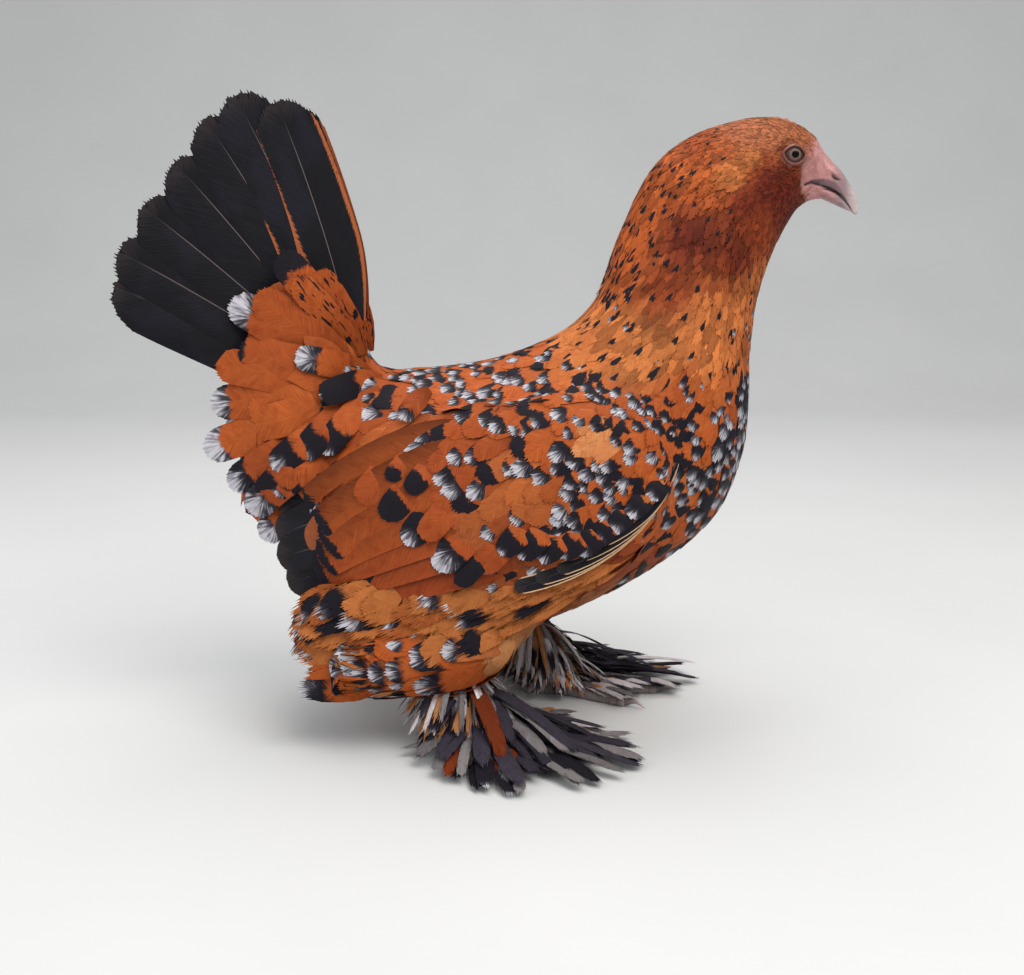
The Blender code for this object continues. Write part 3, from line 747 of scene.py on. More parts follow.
def paint_skin(skin):
    p = points_of(skin.data)
    d = eye_distance(p)[0]
    bare = bare_face(p)
    pink = np.tile(FACE["bare"], (len(p), 1))
    away = ramp(p[:, 0] - face_border(p), -1.0, 6.0)
    pink = mixed(pink, GROUND["crown"] * 1.1, 0.75 * (1 - away) * ramp(p[:, 2], 223, 231))
    pink = mixed(pink, FACE["blotch"], 0.45 * ramp(wave(p, 1.3, 3.1), 0.5, 0.9))
    pink = mixed(pink, FACE["lids"], 0.8 * (1 - ramp(d, 1.5, 2.1)))
    # painted shade: a dark ring at the lids' edge for the upper lid's shadow, and two fainter ones in the
    # lid's folds, all darkest towards the upper front
    turn = np.arctan2(p[:, 2] - EYE[2], p[:, 0] - EYE[0])
    shade = 0.45 + 0.55 * np.cos((turn - math.radians(50)) / 2) ** 2
    for ring, wide, share in ((1.0, 0.13, 1.0), (1.42, 0.06, 0.7), (1.70, 0.05, 0.45)):
        pink = mixed(
            pink, FACE["fold"], shade * share * np.exp(-(((d - ring) / wide) ** 2)),
        )
    pink = mixed(pink, FACE["lores"], 0.6 * near(p, (120.5, 221.5), 6))
    pink = mixed(pink, FACE["ridge"], 0.7 * ridge_share(p))
    above = (p[:, 2] - mouth_line(p[:, 0])) / wedge(p[:, 0])
    pink = mixed(
        pink, TOMIUM_AND_SHADE * 1.3, 0.9 * ramp(above, -0.4, 0.0) * (1 - ramp(above, 0.9, 1.3)) * (p[:, 0] > 118.3),
    )
    # painted shade: a thin dark line in the gap between the closed mandibles
    pink = mixed(
        pink, TOMIUM_AND_SHADE * 0.3, 0.9 * np.exp(-((above * wedge(p[:, 0]) / 0.45) ** 2)) * (p[:, 0] > 118.6),
    )
    pink = mixed(pink, MAUVE, 0.8 * ramp(p[:, 0], 127.5, 133))
    # painted shade: where the coat covers it the skin takes the coat's ground colour, darkened for the shade
    # that shows between the feathers
    colour = mixed(coat_ground(p) * 0.75, pink, bare)
    add_colour(skin, "Skin", np.column_stack([colour, bare]))
    add_uv(skin, "OFBake", unwrap(p))


# ---------------------------------------------------------------- unwraps for the OFBake map's colours
def along_body(x, z):
    """How far along RINGS a place in the bird's middle plane lies, from 0 at the rump to 19 at the face."""
    upper, lower = RINGS[:, 0:2], RINGS[:, 2:4]
    way = (lower - upper) / np.hypot(*(lower - upper).T)[:, None]
    gap = way[:, 0] * (z[:, None] - upper[:, 1]) - way[:, 1] * (x[:, None] - upper[:, 0])
    inside = (gap[:, :-1] >= 0) & (gap[:, 1:] < 0)
    first = np.argmax(inside, axis=1)
    row = np.arange(len(x))
    g0, g1 = gap[row, first], gap[row, first + 1]
    s = first + g0 / np.where(np.abs(g0 - g1) < 1e-6, 1, g0 - g1)
    beyond = np.where(gap[:, 0] < 0, gap[:, 0] / 12, len(RINGS) - 1 + gap[:, -1] / 6)
    return np.where(inside.any(1), s, beyond)


def unwrap(p):
    """A place on an unwrap of the body's own shape: along the rings, and round them from the belly."""
    s = along_body(p[:, 0], p[:, 2])
    k = np.clip(s, 0, len(RINGS) - 1)
    row = np.stack([np.interp(k, np.arange(len(RINGS)), RINGS[:, i]) for i in range(4)], 1)
    middle = (row[:, 0:2] + row[:, 2:4]) / 2
    up = unit(row[:, 0:2] - row[:, 2:4])
    high = ((p[:, [0, 2]] - middle) * up).sum(1)
    turn = np.arctan2(p[:, 1], -high) / (2 * math.pi) + 0.5
    return np.clip(np.stack([0.02 + 0.96 * (s + 2) / 22, 0.02 + 0.96 * turn], 1), 0.004, 0.996)


def unwrap_round(centre, along_y=False):
    """An unwrap round an axis across the bird or along it, its two sides in two halves of the map."""

    def place(p):
        side = (p[:, 1] > 0) * 0.5
        if along_y:
            x, z = p[:, 0] - centre[0], p[:, 2] - centre[1]
            turn = np.arctan2(z, x) / (2 * math.pi) + 0.5
            return np.clip(np.stack([turn, side + 0.48 * np.hypot(x, z) / 170], 1), 0.004, 0.996)
        turn = np.arctan2(p[:, 2] - centre[1], np.abs(p[:, 1]) - centre[0]) / (2 * math.pi) + 0.5
        return np.clip(np.stack([(p[:, 0] + 110) / 260, side + 0.48 * turn], 1), 0.004, 0.996)

    return place


# ---------------------------------------------------------------- laying feathers
class Body:
    """The skin as something to lay feathers on."""

    def __init__(self, skin):
        self.co = points_of(skin.data)
        self.tri = triangles_of(skin.data)
        self.normals = normals_of(skin.data)
        self.tree = tree_of(self.co, self.tri)
        corners = self.co[self.tri]
        self.middle = corners.mean(1)
        cross = np.cross(corners[:, 1] - corners[:, 0], corners[:, 2] - corners[:, 0])
        self.area = np.linalg.norm(cross, axis=1) / 2
        self.face_normal = unit(self.normals[self.tri].sum(1))
        self.label = self.nearest_nodes()

    def nearest_nodes(self):
        """The name of the flesh node nearest to each face of the skin."""
        outer = self.middle + self.face_normal * 3.0
        best = np.full(len(outer), 1e9)
        label = np.full(len(outer), "trunk", dtype="U16")
        for name in FLESH:
            mesh = NODES[name].data
            tree = tree_of(points_of(mesh), triangles_of(mesh))
            low, high = (np.array(v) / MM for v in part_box(name))
            for i in np.nonzero(((outer > low - 12) & (outer < high + 12)).all(1))[0]:
                distance = tree.find_nearest(outer[i])[3]
                if distance < best[i]:
                    best[i], label[i] = distance, name
        return label

    def snap(self, points):
        """The nearest places on the skin and its smooth normals there."""
        at, normal = np.empty_like(points), np.empty_like(points)
        for i, p in enumerate(points):
            place, _, face, _ = self.tree.find_nearest(p)
            at[i] = place
            normal[i] = self.face_normal[face]
        return at, normal

    def from_side(self, x, z, side):
        """How far out the skin is at places seen from the bird's side, and nan beyond its outline."""
        out = np.full(len(x), np.nan)
        for i in range(len(x)):
            hit = self.tree.ray_cast((x[i], side * 200.0, z[i]), (0, -side, 0))[0]
            if hit is not None and hit[1] * side > 4:
                out[i] = hit[1] * side
        return out


def scatter(body, want, spacing, seed):
    """Roots on the wanted faces of the skin, no closer than the spacing, which is one value a face."""
    local = np.random.default_rng(seed)
    faces = np.nonzero(want)[0]
    weight = body.area[faces] / spacing[faces] ** 2
    tries = 6
    count = int(weight.sum() * tries)
    pick = local.choice(faces, count, p=weight / weight.sum())
    r1, r2 = np.sqrt(local.random(count)), local.random(count)
    t = body.co[body.tri[pick]]
    p = t[:, 0] * (1 - r1)[:, None] + t[:, 1] * (r1 * (1 - r2))[:, None] + t[:, 2] * (r1 * r2)[:, None]
    cell = float(spacing[faces].max()) * 1.01
    keys = np.floor(p / cell).astype(int)
    kept, grid = [], {}
    around = [(i, j, k) for i in (-1, 0, 1) for j in (-1, 0, 1) for k in (-1, 0, 1)]
    for i in range(count):
        x, y, z = keys[i]
        close = [m for a, b, c in around for m in grid.get((x + a, y + b, z + c), ())]
        if close and (((p[close] - p[i]) ** 2).sum(1) < spacing[pick[i]] ** 2).any():
            continue
        kept.append(i)
        grid.setdefault((x, y, z), []).append(i)
    return p[kept], pick[kept]


def lay(body, root, way_at, length, high, stick=1.0, points=7):
    """Spines that start in the skin at the roots and run over it with the coat's lie, rising to a height."""
    def way_on(at, normal):
        way = way_at(at)
        facing = (way * normal).sum(1, keepdims=True)
        way = way + np.array([0, 0, -1.6]) * ramp(facing, 0.35, 0.85)
        return unit(way - normal * (way * normal).sum(1, keepdims=True))

    at, normal = body.snap(root)
    way = way_on(at, normal)
    start = way.copy()
    spine, normals = [], []
    for i in range(points):
        t = i / (points - 1)
        spine.append(at + normal * (high * (1 - (1 - t) ** 2) - 0.15)[:, None])
        normals.append(normal)
        free = at + way * (length / (points - 1))[:, None]
        snapped, new_normal = body.snap(free)
        hold = stick * (1 - 0.6 * t * (stick < 1))
        at = snapped * hold + free * (1 - hold)
        normal = unit(new_normal * hold + normal * (1 - hold))
        way = unit(way + way_on(at, normal) * hold + start * (1 - hold))
        way = unit(way - normal * (way * normal).sum(1, keepdims=True) * hold)
    return np.stack(spine, 1), np.stack(normals, 1)


def vanes(
    name, spine, normal, width, material, ground, mark, place, rows=8, columns=13, tip=1.0, base=0.4,
    taper=0.1, arch=0.09, thick=0.1, fringe=0.4, speckle=0.0, patch=0.003, seed=0, under=(4, 5), lit=0.0,
):
    """Thin closed vanes with round tips and frayed ends, as one object.

    tip is how round the end is, base how narrow the foot is, arch how far the sides bend down, fringe how
    deep the frays are in mm, and lit how much painted light one edge gets and painted shade the other. place
    is each root's place in the OFBake map and patch its size there.
    """
    local = np.random.default_rng(seed)
    n, given = spine.shape[:2]
    length = np.linalg.norm(np.diff(spine, axis=1), axis=2).sum(1)
    ahead = unit(np.gradient(spine, axis=1))
    across = unit(np.cross(normal, ahead))
    up = unit(np.cross(ahead, across))
    width = np.broadcast_to(width, (n,))

    def surface(rows, columns, fray, short=0.0):
        t = np.linspace(0, 1, rows)[:, None]
        c = np.linspace(-1, 1, columns)[None]
        grow = (base + (1 - base) * np.sin(math.pi / 2 * np.minimum(t / 0.4, 1))) * (1 - taper * t**2)
        pull = tip * (1 - np.sqrt(1 - (0.97 * c) ** 2)) * t**3
        a = t * length[:, None, None] - pull * width[:, None, None] / 2 - short * ramp(t, 0.72, 1.0)
        sides = np.ones((n, rows, columns))
        if fray:
            comb = (0.3 + 0.7 * local.random((n, 1, columns))) * (np.arange(columns) % 2)
            comb = comb + 0.7 * local.random((n, 1, columns)) + 1.2 * (local.random((n, 1, columns)) < 0.07)
            a = a - comb * fray * ramp(t, 0.72, 1.0)
            edge = (np.abs(c) > 0.99) * (np.arange(rows) % 2)[:, None]
            sides = 1 - edge * 0.5 * local.random((n, rows, 1)) * fray / (width[:, None, None] / 2)
        a = np.clip(a / length[:, None, None], 0, 1)
        index = np.clip(a * (given - 1), 0, given - 1.001)
        low = index.astype(int).reshape(n, -1, 1)
        part = index.reshape(n, -1, 1) - low
        frames = [
            np.take_along_axis(v, low, 1) * (1 - part) + np.take_along_axis(v, low + 1, 1) * part
            for v in (spine, across, up)
        ]
        u = grow * c * sides
        half = (width / 2)[:, None, None]
        drop = -arch * (u**2) * half
        co = frames[0] + frames[1] * (u * half).reshape(n, -1, 1) + frames[2] * drop.reshape(n, -1, 1)
        uv = np.stack([0.5 + 0.5 * c * np.ones_like(u), a * np.ones_like(u)], -1).reshape(n, -1, 2)
        return co, uv, frames[2], np.broadcast_to(1 - c**2, (rows, columns)).reshape(1, -1, 1)

    top, top_uv, _, _ = surface(rows, columns, fringe)
    low, low_uv, low_up, inner = surface(under[0], under[1], 0, 0.9 * fringe)
    low = low - low_up * inner * thick
    co = np.concatenate([top, low], 1)
    uv = np.concatenate([top_uv, low_uv], 1)
    quads = np.concatenate([grid_quads(rows, columns), grid_quads(*under)[:, ::-1] + rows * columns])
    quads = (quads[None] + (np.arange(n) * co.shape[1])[:, None, None]).reshape(-1, 4)
    obj = mesh_object(name, co.reshape(-1, 3), quads, material)
    add_uv(obj, "FeatherUV", uv.reshape(-1, 2))
    patch = np.broadcast_to(np.asarray(patch, float), (2,))
    add_uv(obj, "OFBake", (place[:, None] + (uv - 0.5) * patch).reshape(-1, 2))
    size = np.stack([length / 10, width / 10, np.broadcast_to(speckle, (n,)), np.ones(n)], 1)
    chance = local.random((n, 1))
    # painted light and shade across the vane: with lit, one edge lighter and the other darker, kept in Ground
    shade = 1 + lit * (2 * uv[..., :1] - 1)
    colour = np.concatenate([ground[:, None] * shade, chance[:, None] + 0 * shade], -1)
    add_colour(obj, "Ground", colour.reshape(-1, 4))
    for key, values in (("Mark", mark), ("Size", size)):
        add_colour(obj, key, np.repeat(values, co.shape[1], axis=0))
    return obj


def grid_quads(rows, columns):
    i, j = (v.ravel() for v in np.meshgrid(np.arange(rows - 1), np.arange(columns - 1), indexing="ij"))
    k = i * columns + j
    return np.stack([k, k + 1, k + columns + 1, k + columns], 1)


# ---------------------------------------------------------------- the coat
# Detail of the vanes by their width: from, to; rows, columns; rows and columns below; fringe; tip's point
DETAIL = (
    (0, 2.7, 6, 5, (3, 3), 0.5, 1.7),
    (2.7, 5.3, 8, 7, (4, 3), 2.0, 2.2),
    (5.3, 99, 9, 17, (4, 5), 1.7, 1.0),
)
MOST_TRIANGLES = 180000


def spangles(f, p, local):
    """Marks from the shares of spotted and of white-tipped feathers."""
    n = len(p)
    width, length = f["width"], f["length"]
    narrow = width < 5.5
    spotted = local.random(n) < f["spots"]
    depth = width * np.where(narrow, 0.9 + 0.5 * local.random(n), 0.62 + 0.38 * local.random(n))
    depth *= 1 + 0.4 * ramp(p[:, 0], 72, 92) * (p[:, 2] < 155)
    plain = near(p, GOLD_SPOT, 6.5) > 0.3
    black = np.where(spotted & ~plain, 1 - depth / length, 2.0)
    white = np.where(local.random(n) < f["whites"], 0.62 + 0.62 * local.random(n), 0.0)
    white *= 1 + 0.2 * ramp(p[:, 0], 80, 98)
    curve = np.where(narrow & (f["spots"] < 0.6), -0.3 + 0.3 * local.random(n), 0.40 + 0.18 * local.random(n))
    fluff = 1 - ramp(p[:, 2], 46, 62)
    return np.stack([black, white, curve, fluff], 1)


def shortened(root, lie, length, nodes):
    """Lengths cut down so that the tips stay inside the nodes' outline seen from the side."""
    co, tri = joined([(points_of(NODES[node].data), triangles_of(NODES[node].data)) for node in nodes])
    tree = tree_of(co, tri)
    length = length.copy()
    for i in np.nonzero(length > 8)[0]:
        for share in (1.0, 0.9, 0.8, 0.7, 0.6, 0.5, 0.4):
            tip = root[i] + lie[i] * (length[i] * share - 1.5)
            if tree.ray_cast((tip[0], -200.0, tip[2]), (0, 1, 0))[0] is not None:
                break
        length[i] *= share
    return length


def cover(
    body, name, want, feather, fields=coat_at, place=unwrap, seed=1, stick=1.0, pitch=0.52, lift=1.0,
    turn=0.13, within=None,
):
    """Feathers over the wanted faces of the skin, in pieces by size."""
    local = np.random.default_rng(seed)
    root, face = scatter(body, want, pitch * fields(body.middle)["width"], seed)
    f = fields(root)
    if within:
        f["length"] = shortened(root, f["lie"], f["length"], within)
    size = 1 + 0.14 * (2 * local.random(len(root)) - 1)
    sway = turn * (2 * local.random(len(root)) - 1)
    for level, (low, high, rows, columns, under, fringe, tip) in enumerate(DETAIL):
        pick = (f["width"] >= low) & (f["width"] < high)
        if not pick.any():
            continue
        g = {key: value[pick] for key, value in f.items()}
        normal = body.face_normal[face[pick]]

        def way_at(p):
            way = fields(p)["lie"]
            return way + np.cross(normal, way) * sway[pick][:, None]

        rise = coat_depth(g["width"]) * lift * (0.9 + 0.2 * local.random(pick.sum()))
        rise *= 1 + 1.1 * near(root[pick], RUFFLED, 19) * local.random(pick.sum()) ** 3
        spine, normals = lay(body, root[pick], way_at, g["length"] * size[pick], rise, stick)
        loose = 0.08 + 0.26 * (level < 2)
        tone = 1 - 0.3 * loose + loose * (2 * local.random((pick.sum(), 1)) - 1)
        ground = g["ground"] * tone
        mark = spangles(g, root[pick], local)
        where = place(root[pick])
        each = (rows - 1) * (columns - 1) * 2 + (under[0] - 1) * (under[1] - 1) * 2
        parts = math.ceil(pick.sum() * each / MOST_TRIANGLES)
        for k, part in enumerate(np.array_split(np.argsort(root[pick][:, 0]), parts)):
            obj = vanes(
                f"feathers_{name}_{level + 1}_{k + 1}", spine[part], normals[part],
                g["width"][part] * size[pick][part], feather, ground[part], mark[part], where[part], rows,
                columns, tip, fringe=fringe, under=under, seed=seed + k,
            )
            finish_piece(obj, "plumage")


def with_ground(fields):
    """The same fields, with the small areas of other colour."""

    def made(p):
        f = fields(p)
        f["ground"] = coat_ground(p)
        thigh = ramp(np.abs(p[:, 1]), 12, 20) * (1 - ramp(p[:, 2], 50, 62))
        f["lie"] = unit(f["lie"] + np.array([0.2, 0, -1.3]) * thigh[:, None])
        return f

    return made


def steady(length, width, spots, whites, ground, lie):
    """Fields with the same sizes all over; lie is a way or a function of place."""

    def fields(p):
        n = len(p)
        way = lie(p) if callable(lie) else np.tile(unit(np.array(lie, float)), (n, 1))
        colour = plain(ground[0], n)
        colour = mixed(colour, GROUND[ground[1]], ramp(wave(p, 9.0, length), 0.35, 0.8))
        return {
            "lie": way, "length": np.full(n, float(length)), "width": np.full(n, float(width)),
            "spots": np.full(n, spots), "whites": np.full(n, whites), "ground": colour,
        }

    return fields


def quill_zone(p):
    """Where the flight feathers lie bare on the wing, seen from the side."""
    x, z = p[:, 0], p[:, 2]
    front = np.interp(z, (60, 76, 92, 105, 118, 131), (8, 8, -4, -16, -22, -28))
    return (x < front) & (z < 123 + 0.25 * (x + 10)) & (z > 60) & (np.abs(p[:, 1]) > 20)


def from_tail_root(p):
    return unit(np.stack([p[:, 0] - TAIL_ROOT[0] - 4, np.sign(p[:, 1]) * 4.0, p[:, 2] - TAIL_ROOT[1] + 6], 1))


def make_coat(body, feather):
    labels = body.label
    x, z = body.middle[:, 0], body.middle[:, 2]
    coverts = (labels == "tail_coverts") & (x < -50) & (z > 104 + 1.3 * np.maximum(x + 70, 0))
    plume = np.char.startswith(labels, "hock_plume")
    bare = (bare_face(body.middle) > 0.6) | (body.middle[:, 0] > 126)
    quills = quill_zone(body.middle)
    cover(
        body, "body", ~(coverts | plume | bare | quills), feather, with_ground(coat_at), seed=3, lift=0.8,
        within=FLESH,
    )
    tail = steady(34, 15, 0.12, 0.5, ("ember", "orange"), from_tail_root)
    border = bare & (x > 114) & (x < 122 + 0.8 * np.maximum(z - 231, 0)) & ((z > 229) | (z < 216.5))
    bristle = steady(1.9, 0.34, 0, 0, ("crown", "gold"), lambda p: coat_at(p)["lie"])
    cover(body, "bristles", border, feather, bristle, seed=9, pitch=2.5, lift=1.0, turn=0.4)
    place = unwrap_round(TAIL_ROOT, True)
    cover(body, "tail_coverts", coverts, feather, tail, place, 41, 0.85, 0.42, 1.2, within=["tail_coverts"])
    hock = steady(32, 11, 0.7, 0.7, ("orange", "buff"), (-1, 0, -0.10))
    cover(
        body, "hock", plume, feather, hock, unwrap_round((38, 40)), 61, 0.85, 0.5, 1.2,
        within=["hock_plume_left"],
    )


# ---------------------------------------------------------------- feathers laid one by one
# Secondaries from the uppermost down: root x, z; tip x, z; bow; width
SECONDARIES = [
    (0, 127, -70, 96.5, 7, 17), (8, 122, -66, 89.5, 6.5, 17), (14, 117, -65, 83, 6, 17),
    (18, 110, -66, 77, 4.5, 17), (22, 103, -69, 71, 3, 17), (26, 96, -71, 65.5, 2, 17),
    (30, 88, -73, 60.5, 0.5, 17),
]
# Black inner vanes that show beyond them
INNER_VANES = [
    (-20, 114, -82.5, 93, 4, 17), (-17, 106, -85, 84, 3, 17), (-14, 98, -84.5, 75, 2, 17),
    (-10, 90, -81, 66, 1, 17),
]
# Primaries folded along the wing's lower front edge, and the narrow coverts over them
PRIMARIES = [
    (68, 115, 39, 86.5, -4, 5.5), (67, 113, 31, 81, -5, 5.5), (66, 111, 23, 76, -6, 6),
    (65, 109, 15, 72, -7, 6.5), (64, 107, 7, 69, -7.5, 7),
]
PRIMARY_COVERTS = [(69, 120, 50, 98, -2, 3), (69, 118, 45, 92.5, -3, 3), (69, 116, 38, 88.5, -3, 3)]
# Greater coverts: tip x, z; depth of black; size of white fan; width; length
GREATER = [
    (-50, 101, 0, 0, 12, 30), (-41.5, 94.5, 11, 0, 12, 30), (-27, 88, 0, 0, 11, 28),
    (-33.5, 85.5, 16, 0.75, 12, 32), (-21.5, 76, 11, 1.15, 13, 32), (-14, 70, 13, 0, 9, 30),
    (-6, 75, 0, 0, 11, 28), (2, 81.5, 10, 0.5, 10, 28), (9.5, 80, 10, 0.5, 10, 28),
    (17, 79, 10, 0.6, 10, 27), (24.5, 80, 10, 0.6, 10, 26), (31, 81.5, 10, 0.7, 10, 25),
    (37, 85.5, 9, 0.8, 9.5, 23), (43, 90, 9, 0.8, 9, 21), (50, 95.5, 9, 0.8, 9, 20),
    (57, 102, 9, 0.8, 8.5, 18), (-32, 104.5, 9, 0, 9, 24), (-39, 109, 6, 0, 7.5, 22),
    (-35, 130.5, 5, 0.9, 8, 20),
]
# Tail coverts seen one by one: tip x, z, as seen level with the wing's face; root x, z; depth of black;
# white fan; width; specks
TAIL_COVERTS = [
    (-63.5, 186.5, -52, 152, 0, 0, 11, 1), (-71, 184.5, -54, 152, 0, 0, 12, 1),
    (-77, 192, -53, 152, 9, 0, 14, 0), (-86, 178, -56, 148, 0, 0, 15, 0),
    (-95, 175.5, -60, 148, 10, 1.3, 15, 0), (-93, 158, -60, 144, 3, 0, 15, 0),
    (-101, 152, -62, 142, 0, 0, 15, 0), (-104, 138, -64, 138, 8, 1.1, 15, 0),
    (-96, 128, -60, 134, 0, 0, 14, 0), (-107, 121, -66, 130, 8, 1.5, 15, 0),
    (-97, 108, -62, 126, 10, 0.9, 14, 0), (-90, 98, -60, 122, 10, 1.3, 14, 0),
    (-86, 104, -58, 126, 12, 0, 13, 0), (-85, 88, -56, 116, 8, 1.4, 13, 0),
    (-80, 116, -56, 130, 12, 0.8, 12, 0), (-69, 120, -50, 138, 12, 0.7, 12, 0),
    (-61, 122, -44, 140, 11, 0.7, 11, 0), (-79, 106, -54, 124, 11, 0.5, 12, 0),
    (-71.5, 156, -49, 145, 9, 1.4, 11, 0), (-62, 142, -44, 143, 14, 0.3, 11, 0),
]
COVERT_LIE = 226  # degrees up from straight ahead
COVERT_SHARE = 0.78  # how much of each greater covert's length is laid
WING_OUT, COVERTS_OUT = 50, 22  # how far the wing's face and the tail coverts stand from the middle


def laid(side, roots, tips, bows, out, points=14):
    """Spines from places seen from the side. out gives how far from the middle plane each place is."""
    t = np.linspace(0, 1, points)
    roots, tips = np.array(roots, float), np.array(tips, float)
    chord = tips - roots
    across = unit(np.stack([chord[:, 1], -chord[:, 0]], 1))
    bow = (4 * t * (1 - t))[None, :, None] * np.array(bows, float)[:, None, None]
    flat = roots[:, None] + chord[:, None] * t[None, :, None] + across[:, None] * bow
    y = np.stack([out(f[:, 0], f[:, 1], t, i) for i, f in enumerate(flat)])
    spine = np.stack([flat[..., 0], side * y, flat[..., 1]], -1)
    lean = np.broadcast_to(unit(np.array([0.0, side, 0.15])), spine.shape)
    return spine, lean.copy()


def over_skin(body, side, low, high, plane=None):
    """Distance out for laid feathers: on the skin, or on the wing's own plane past the skin's outline."""
    wing_x = (-85, -76, -62, -46, -24, 3, 27, 46, 59, 67)
    wing_y = (30, 33, 38, 46, 51, 52, 51, 48.5, 44.5, 40)

    def out(x, z, t, i):
        y = body.from_side(x, z, side)
        sheet = np.interp(x, wing_x, wing_y) - 3.0 - 0.4 * np.maximum(z - 112, 0)
        if plane is not None:
            sheet = plane(x, z)
        y = np.where(np.isnan(y), sheet, np.maximum(y, sheet))
        y = np.convolve(np.pad(y, 2, mode="edge"), np.ones(5) / 5, mode="valid")
        return y + low[i] + (high[i] - low[i]) * ramp(t, 0.15, 0.6)

    return out


def shelf(n, row, rows=8):
    """Places on a plain sheet of patches for feathers that are laid one by one."""
    return np.stack([(np.arange(n) + 0.5) / n, np.full(n, (row + 0.5) / rows)], 1)


def make_wing(body, feather, quill):
    for side, name in SIDES:
        local = np.random.default_rng(70 + side)

        def row_of(label, table, material, mark, ground, low, high, slot_row, **more):
            table = np.array(table, float)
            n = len(table)
            jitter = (local.random((n, 2)) - 0.5) * (1.0 if side < 0 else 3.0)
            spine, normal = laid(
                side, table[:, :2], table[:, 2:4] + jitter, table[:, 4], over_skin(body, side, low, high),
            )
            obj = vanes(
                f"{label}_{name}", spine, normal, table[:, 5], material, ground, mark, shelf(n, slot_row),
                patch=(0.8 / n, 0.9 / 8), seed=71 + side + slot_row, **more,
            )
            finish_piece(obj, "plumage")

        n = len(INNER_VANES)
        row_of(
            "inner_vanes", INNER_VANES, quill, np.zeros((n, 4)), plain("black", n),
            np.full(n, -1.0), 1.4 - 0.1 * np.arange(n), 0, rows=24, columns=21, under=(12, 7), fringe=0.35,
            tip=0.9,
        )
        n = len(SECONDARIES)
        tone = mixed(np.tile(GROUND["orange"] * 0.7, (n, 1)), GROUND["deep"] * 0.85, np.linspace(0.1, 1, n))
        mark = np.tile([0.955, 0.0, 0.5, 0.0], (n, 1))
        # painted shade: each secondary darker towards its upper edge, under the feather above, and lighter
        # along its lower edge
        row_of(
            "secondaries", SECONDARIES, feather, mark, tone, np.full(n, -1.2), 2.8 - 0.15 * np.arange(n), 1,
            rows=30, columns=21, under=(14, 9), fringe=1.1, tip=0.35, thick=0.2, arch=0.10, lit=-0.5 * side,
        )
        n = len(PRIMARIES)
        row_of(
            "primaries", PRIMARIES, quill, np.tile([0.0, 0.0, 0.17, 0.0], (n, 1)),
            plain("black", n),
            np.full(n, 0.5), 2.4 - 0.3 * np.arange(n), 2, rows=26, columns=15, under=(12, 5), tip=1.4,
            fringe=0.2,
            thick=0.2,
        )
        n = len(PRIMARY_COVERTS)
        row_of(
            "primary_coverts", PRIMARY_COVERTS, feather, np.tile([2.0, 0.0, 0.5, 0.0], (n, 1)),
            plain("tan", n), np.full(n, -0.8), 2.6 - 0.2 * np.arange(n), 3, rows=16,
            columns=11,
            tip=1.4, fringe=0.2,
        )
        big = np.array(GREATER, float)
        n = len(big)
        tips = big[:, :2]
        lie = np.radians(COVERT_LIE)
        big[:, 5] *= COVERT_SHARE
        roots = tips - heading_of(lie) * big[:, 5:6]
        table = np.column_stack([roots, tips, np.full(n, 1.0), big[:, 4]])
        black = np.where(big[:, 2] > 0, 1 - big[:, 2] / big[:, 5], 2.0)
        mark = np.stack([black, big[:, 3], 0.46 + 0.1 * local.random(n), 0 * black], 1)
        ground = np.where(tips[:, :1] < 0, GROUND["ember"], GROUND["orange"] * 0.9)
        ground = ground * (0.9 + 0.2 * local.random((n, 1)))
        row_of(
            "greater_coverts", table, feather, mark, ground, np.full(n, -0.6),
            2.9 + 0.25 * (np.arange(n) % 3), 4,
            rows=14, columns=21, under=(7, 7), fringe=1.0,
        )


def coverts_plane(x, z):
    """How far out the tail coverts lie past the skin's outline."""
    return np.interp(x, (-110, -70, -57, -46), (17, 21, 15, 5))


def make_laid_coverts(body, feather):
    table = np.array(TAIL_COVERTS, float)
    n = len(table)
    # along the line of sight from the wing's face to the coverts
    seen_from = np.array([CAMERA[0], CAMERA[2]])
    farther = (CAMERA[1] + COVERTS_OUT) / (CAMERA[1] + WING_OUT)
    tips = seen_from + (table[:, 0:2] - seen_from) * farther
    length = np.hypot(*(tips - table[:, 2:4]).T)
    for side, name in SIDES:
        local = np.random.default_rng(200 + side)
        jitter = (local.random((n, 2)) - 0.5) * (1.0 if side < 0 else 5.0)
        order = np.argsort(-tips[:, 1])
        high = 4.0 + 0.22 * np.argsort(order)
        out = over_skin(body, side, np.full(n, 0.5), high, coverts_plane)
        spine, normal = laid(side, table[:, 2:4], tips + jitter, np.full(n, 1.5), out)
        under_wing = (spine[..., 0] > -86) & (spine[..., 2] < 101)
        wing = np.interp(spine[..., 0], (-85, -76, -62), (30, 33, 38)) - 4.4
        spine[..., 1] = np.where(under_wing, side * np.minimum(np.abs(spine[..., 1]), wing), spine[..., 1])
        black = np.where(table[:, 4] > 0, 1 - table[:, 4] / length, 2.0)
        mark = np.stack([black, table[:, 5], 0.46 + 0.1 * local.random(n), np.full(n, 0.3)], 1)
        ground = mixed(plain("ember", n), GROUND["orange"], local.random(n))
        obj = vanes(
            f"laid_coverts_{name}", spine, normal, table[:, 6], feather, ground, mark, shelf(n, 0, 1),
            rows=16,
            columns=29, under=(8, 9), fringe=1.3, speckle=table[:, 7], patch=(0.8 / n, 0.9), seed=210 + side,
        )
        finish_piece(obj, "plumage")


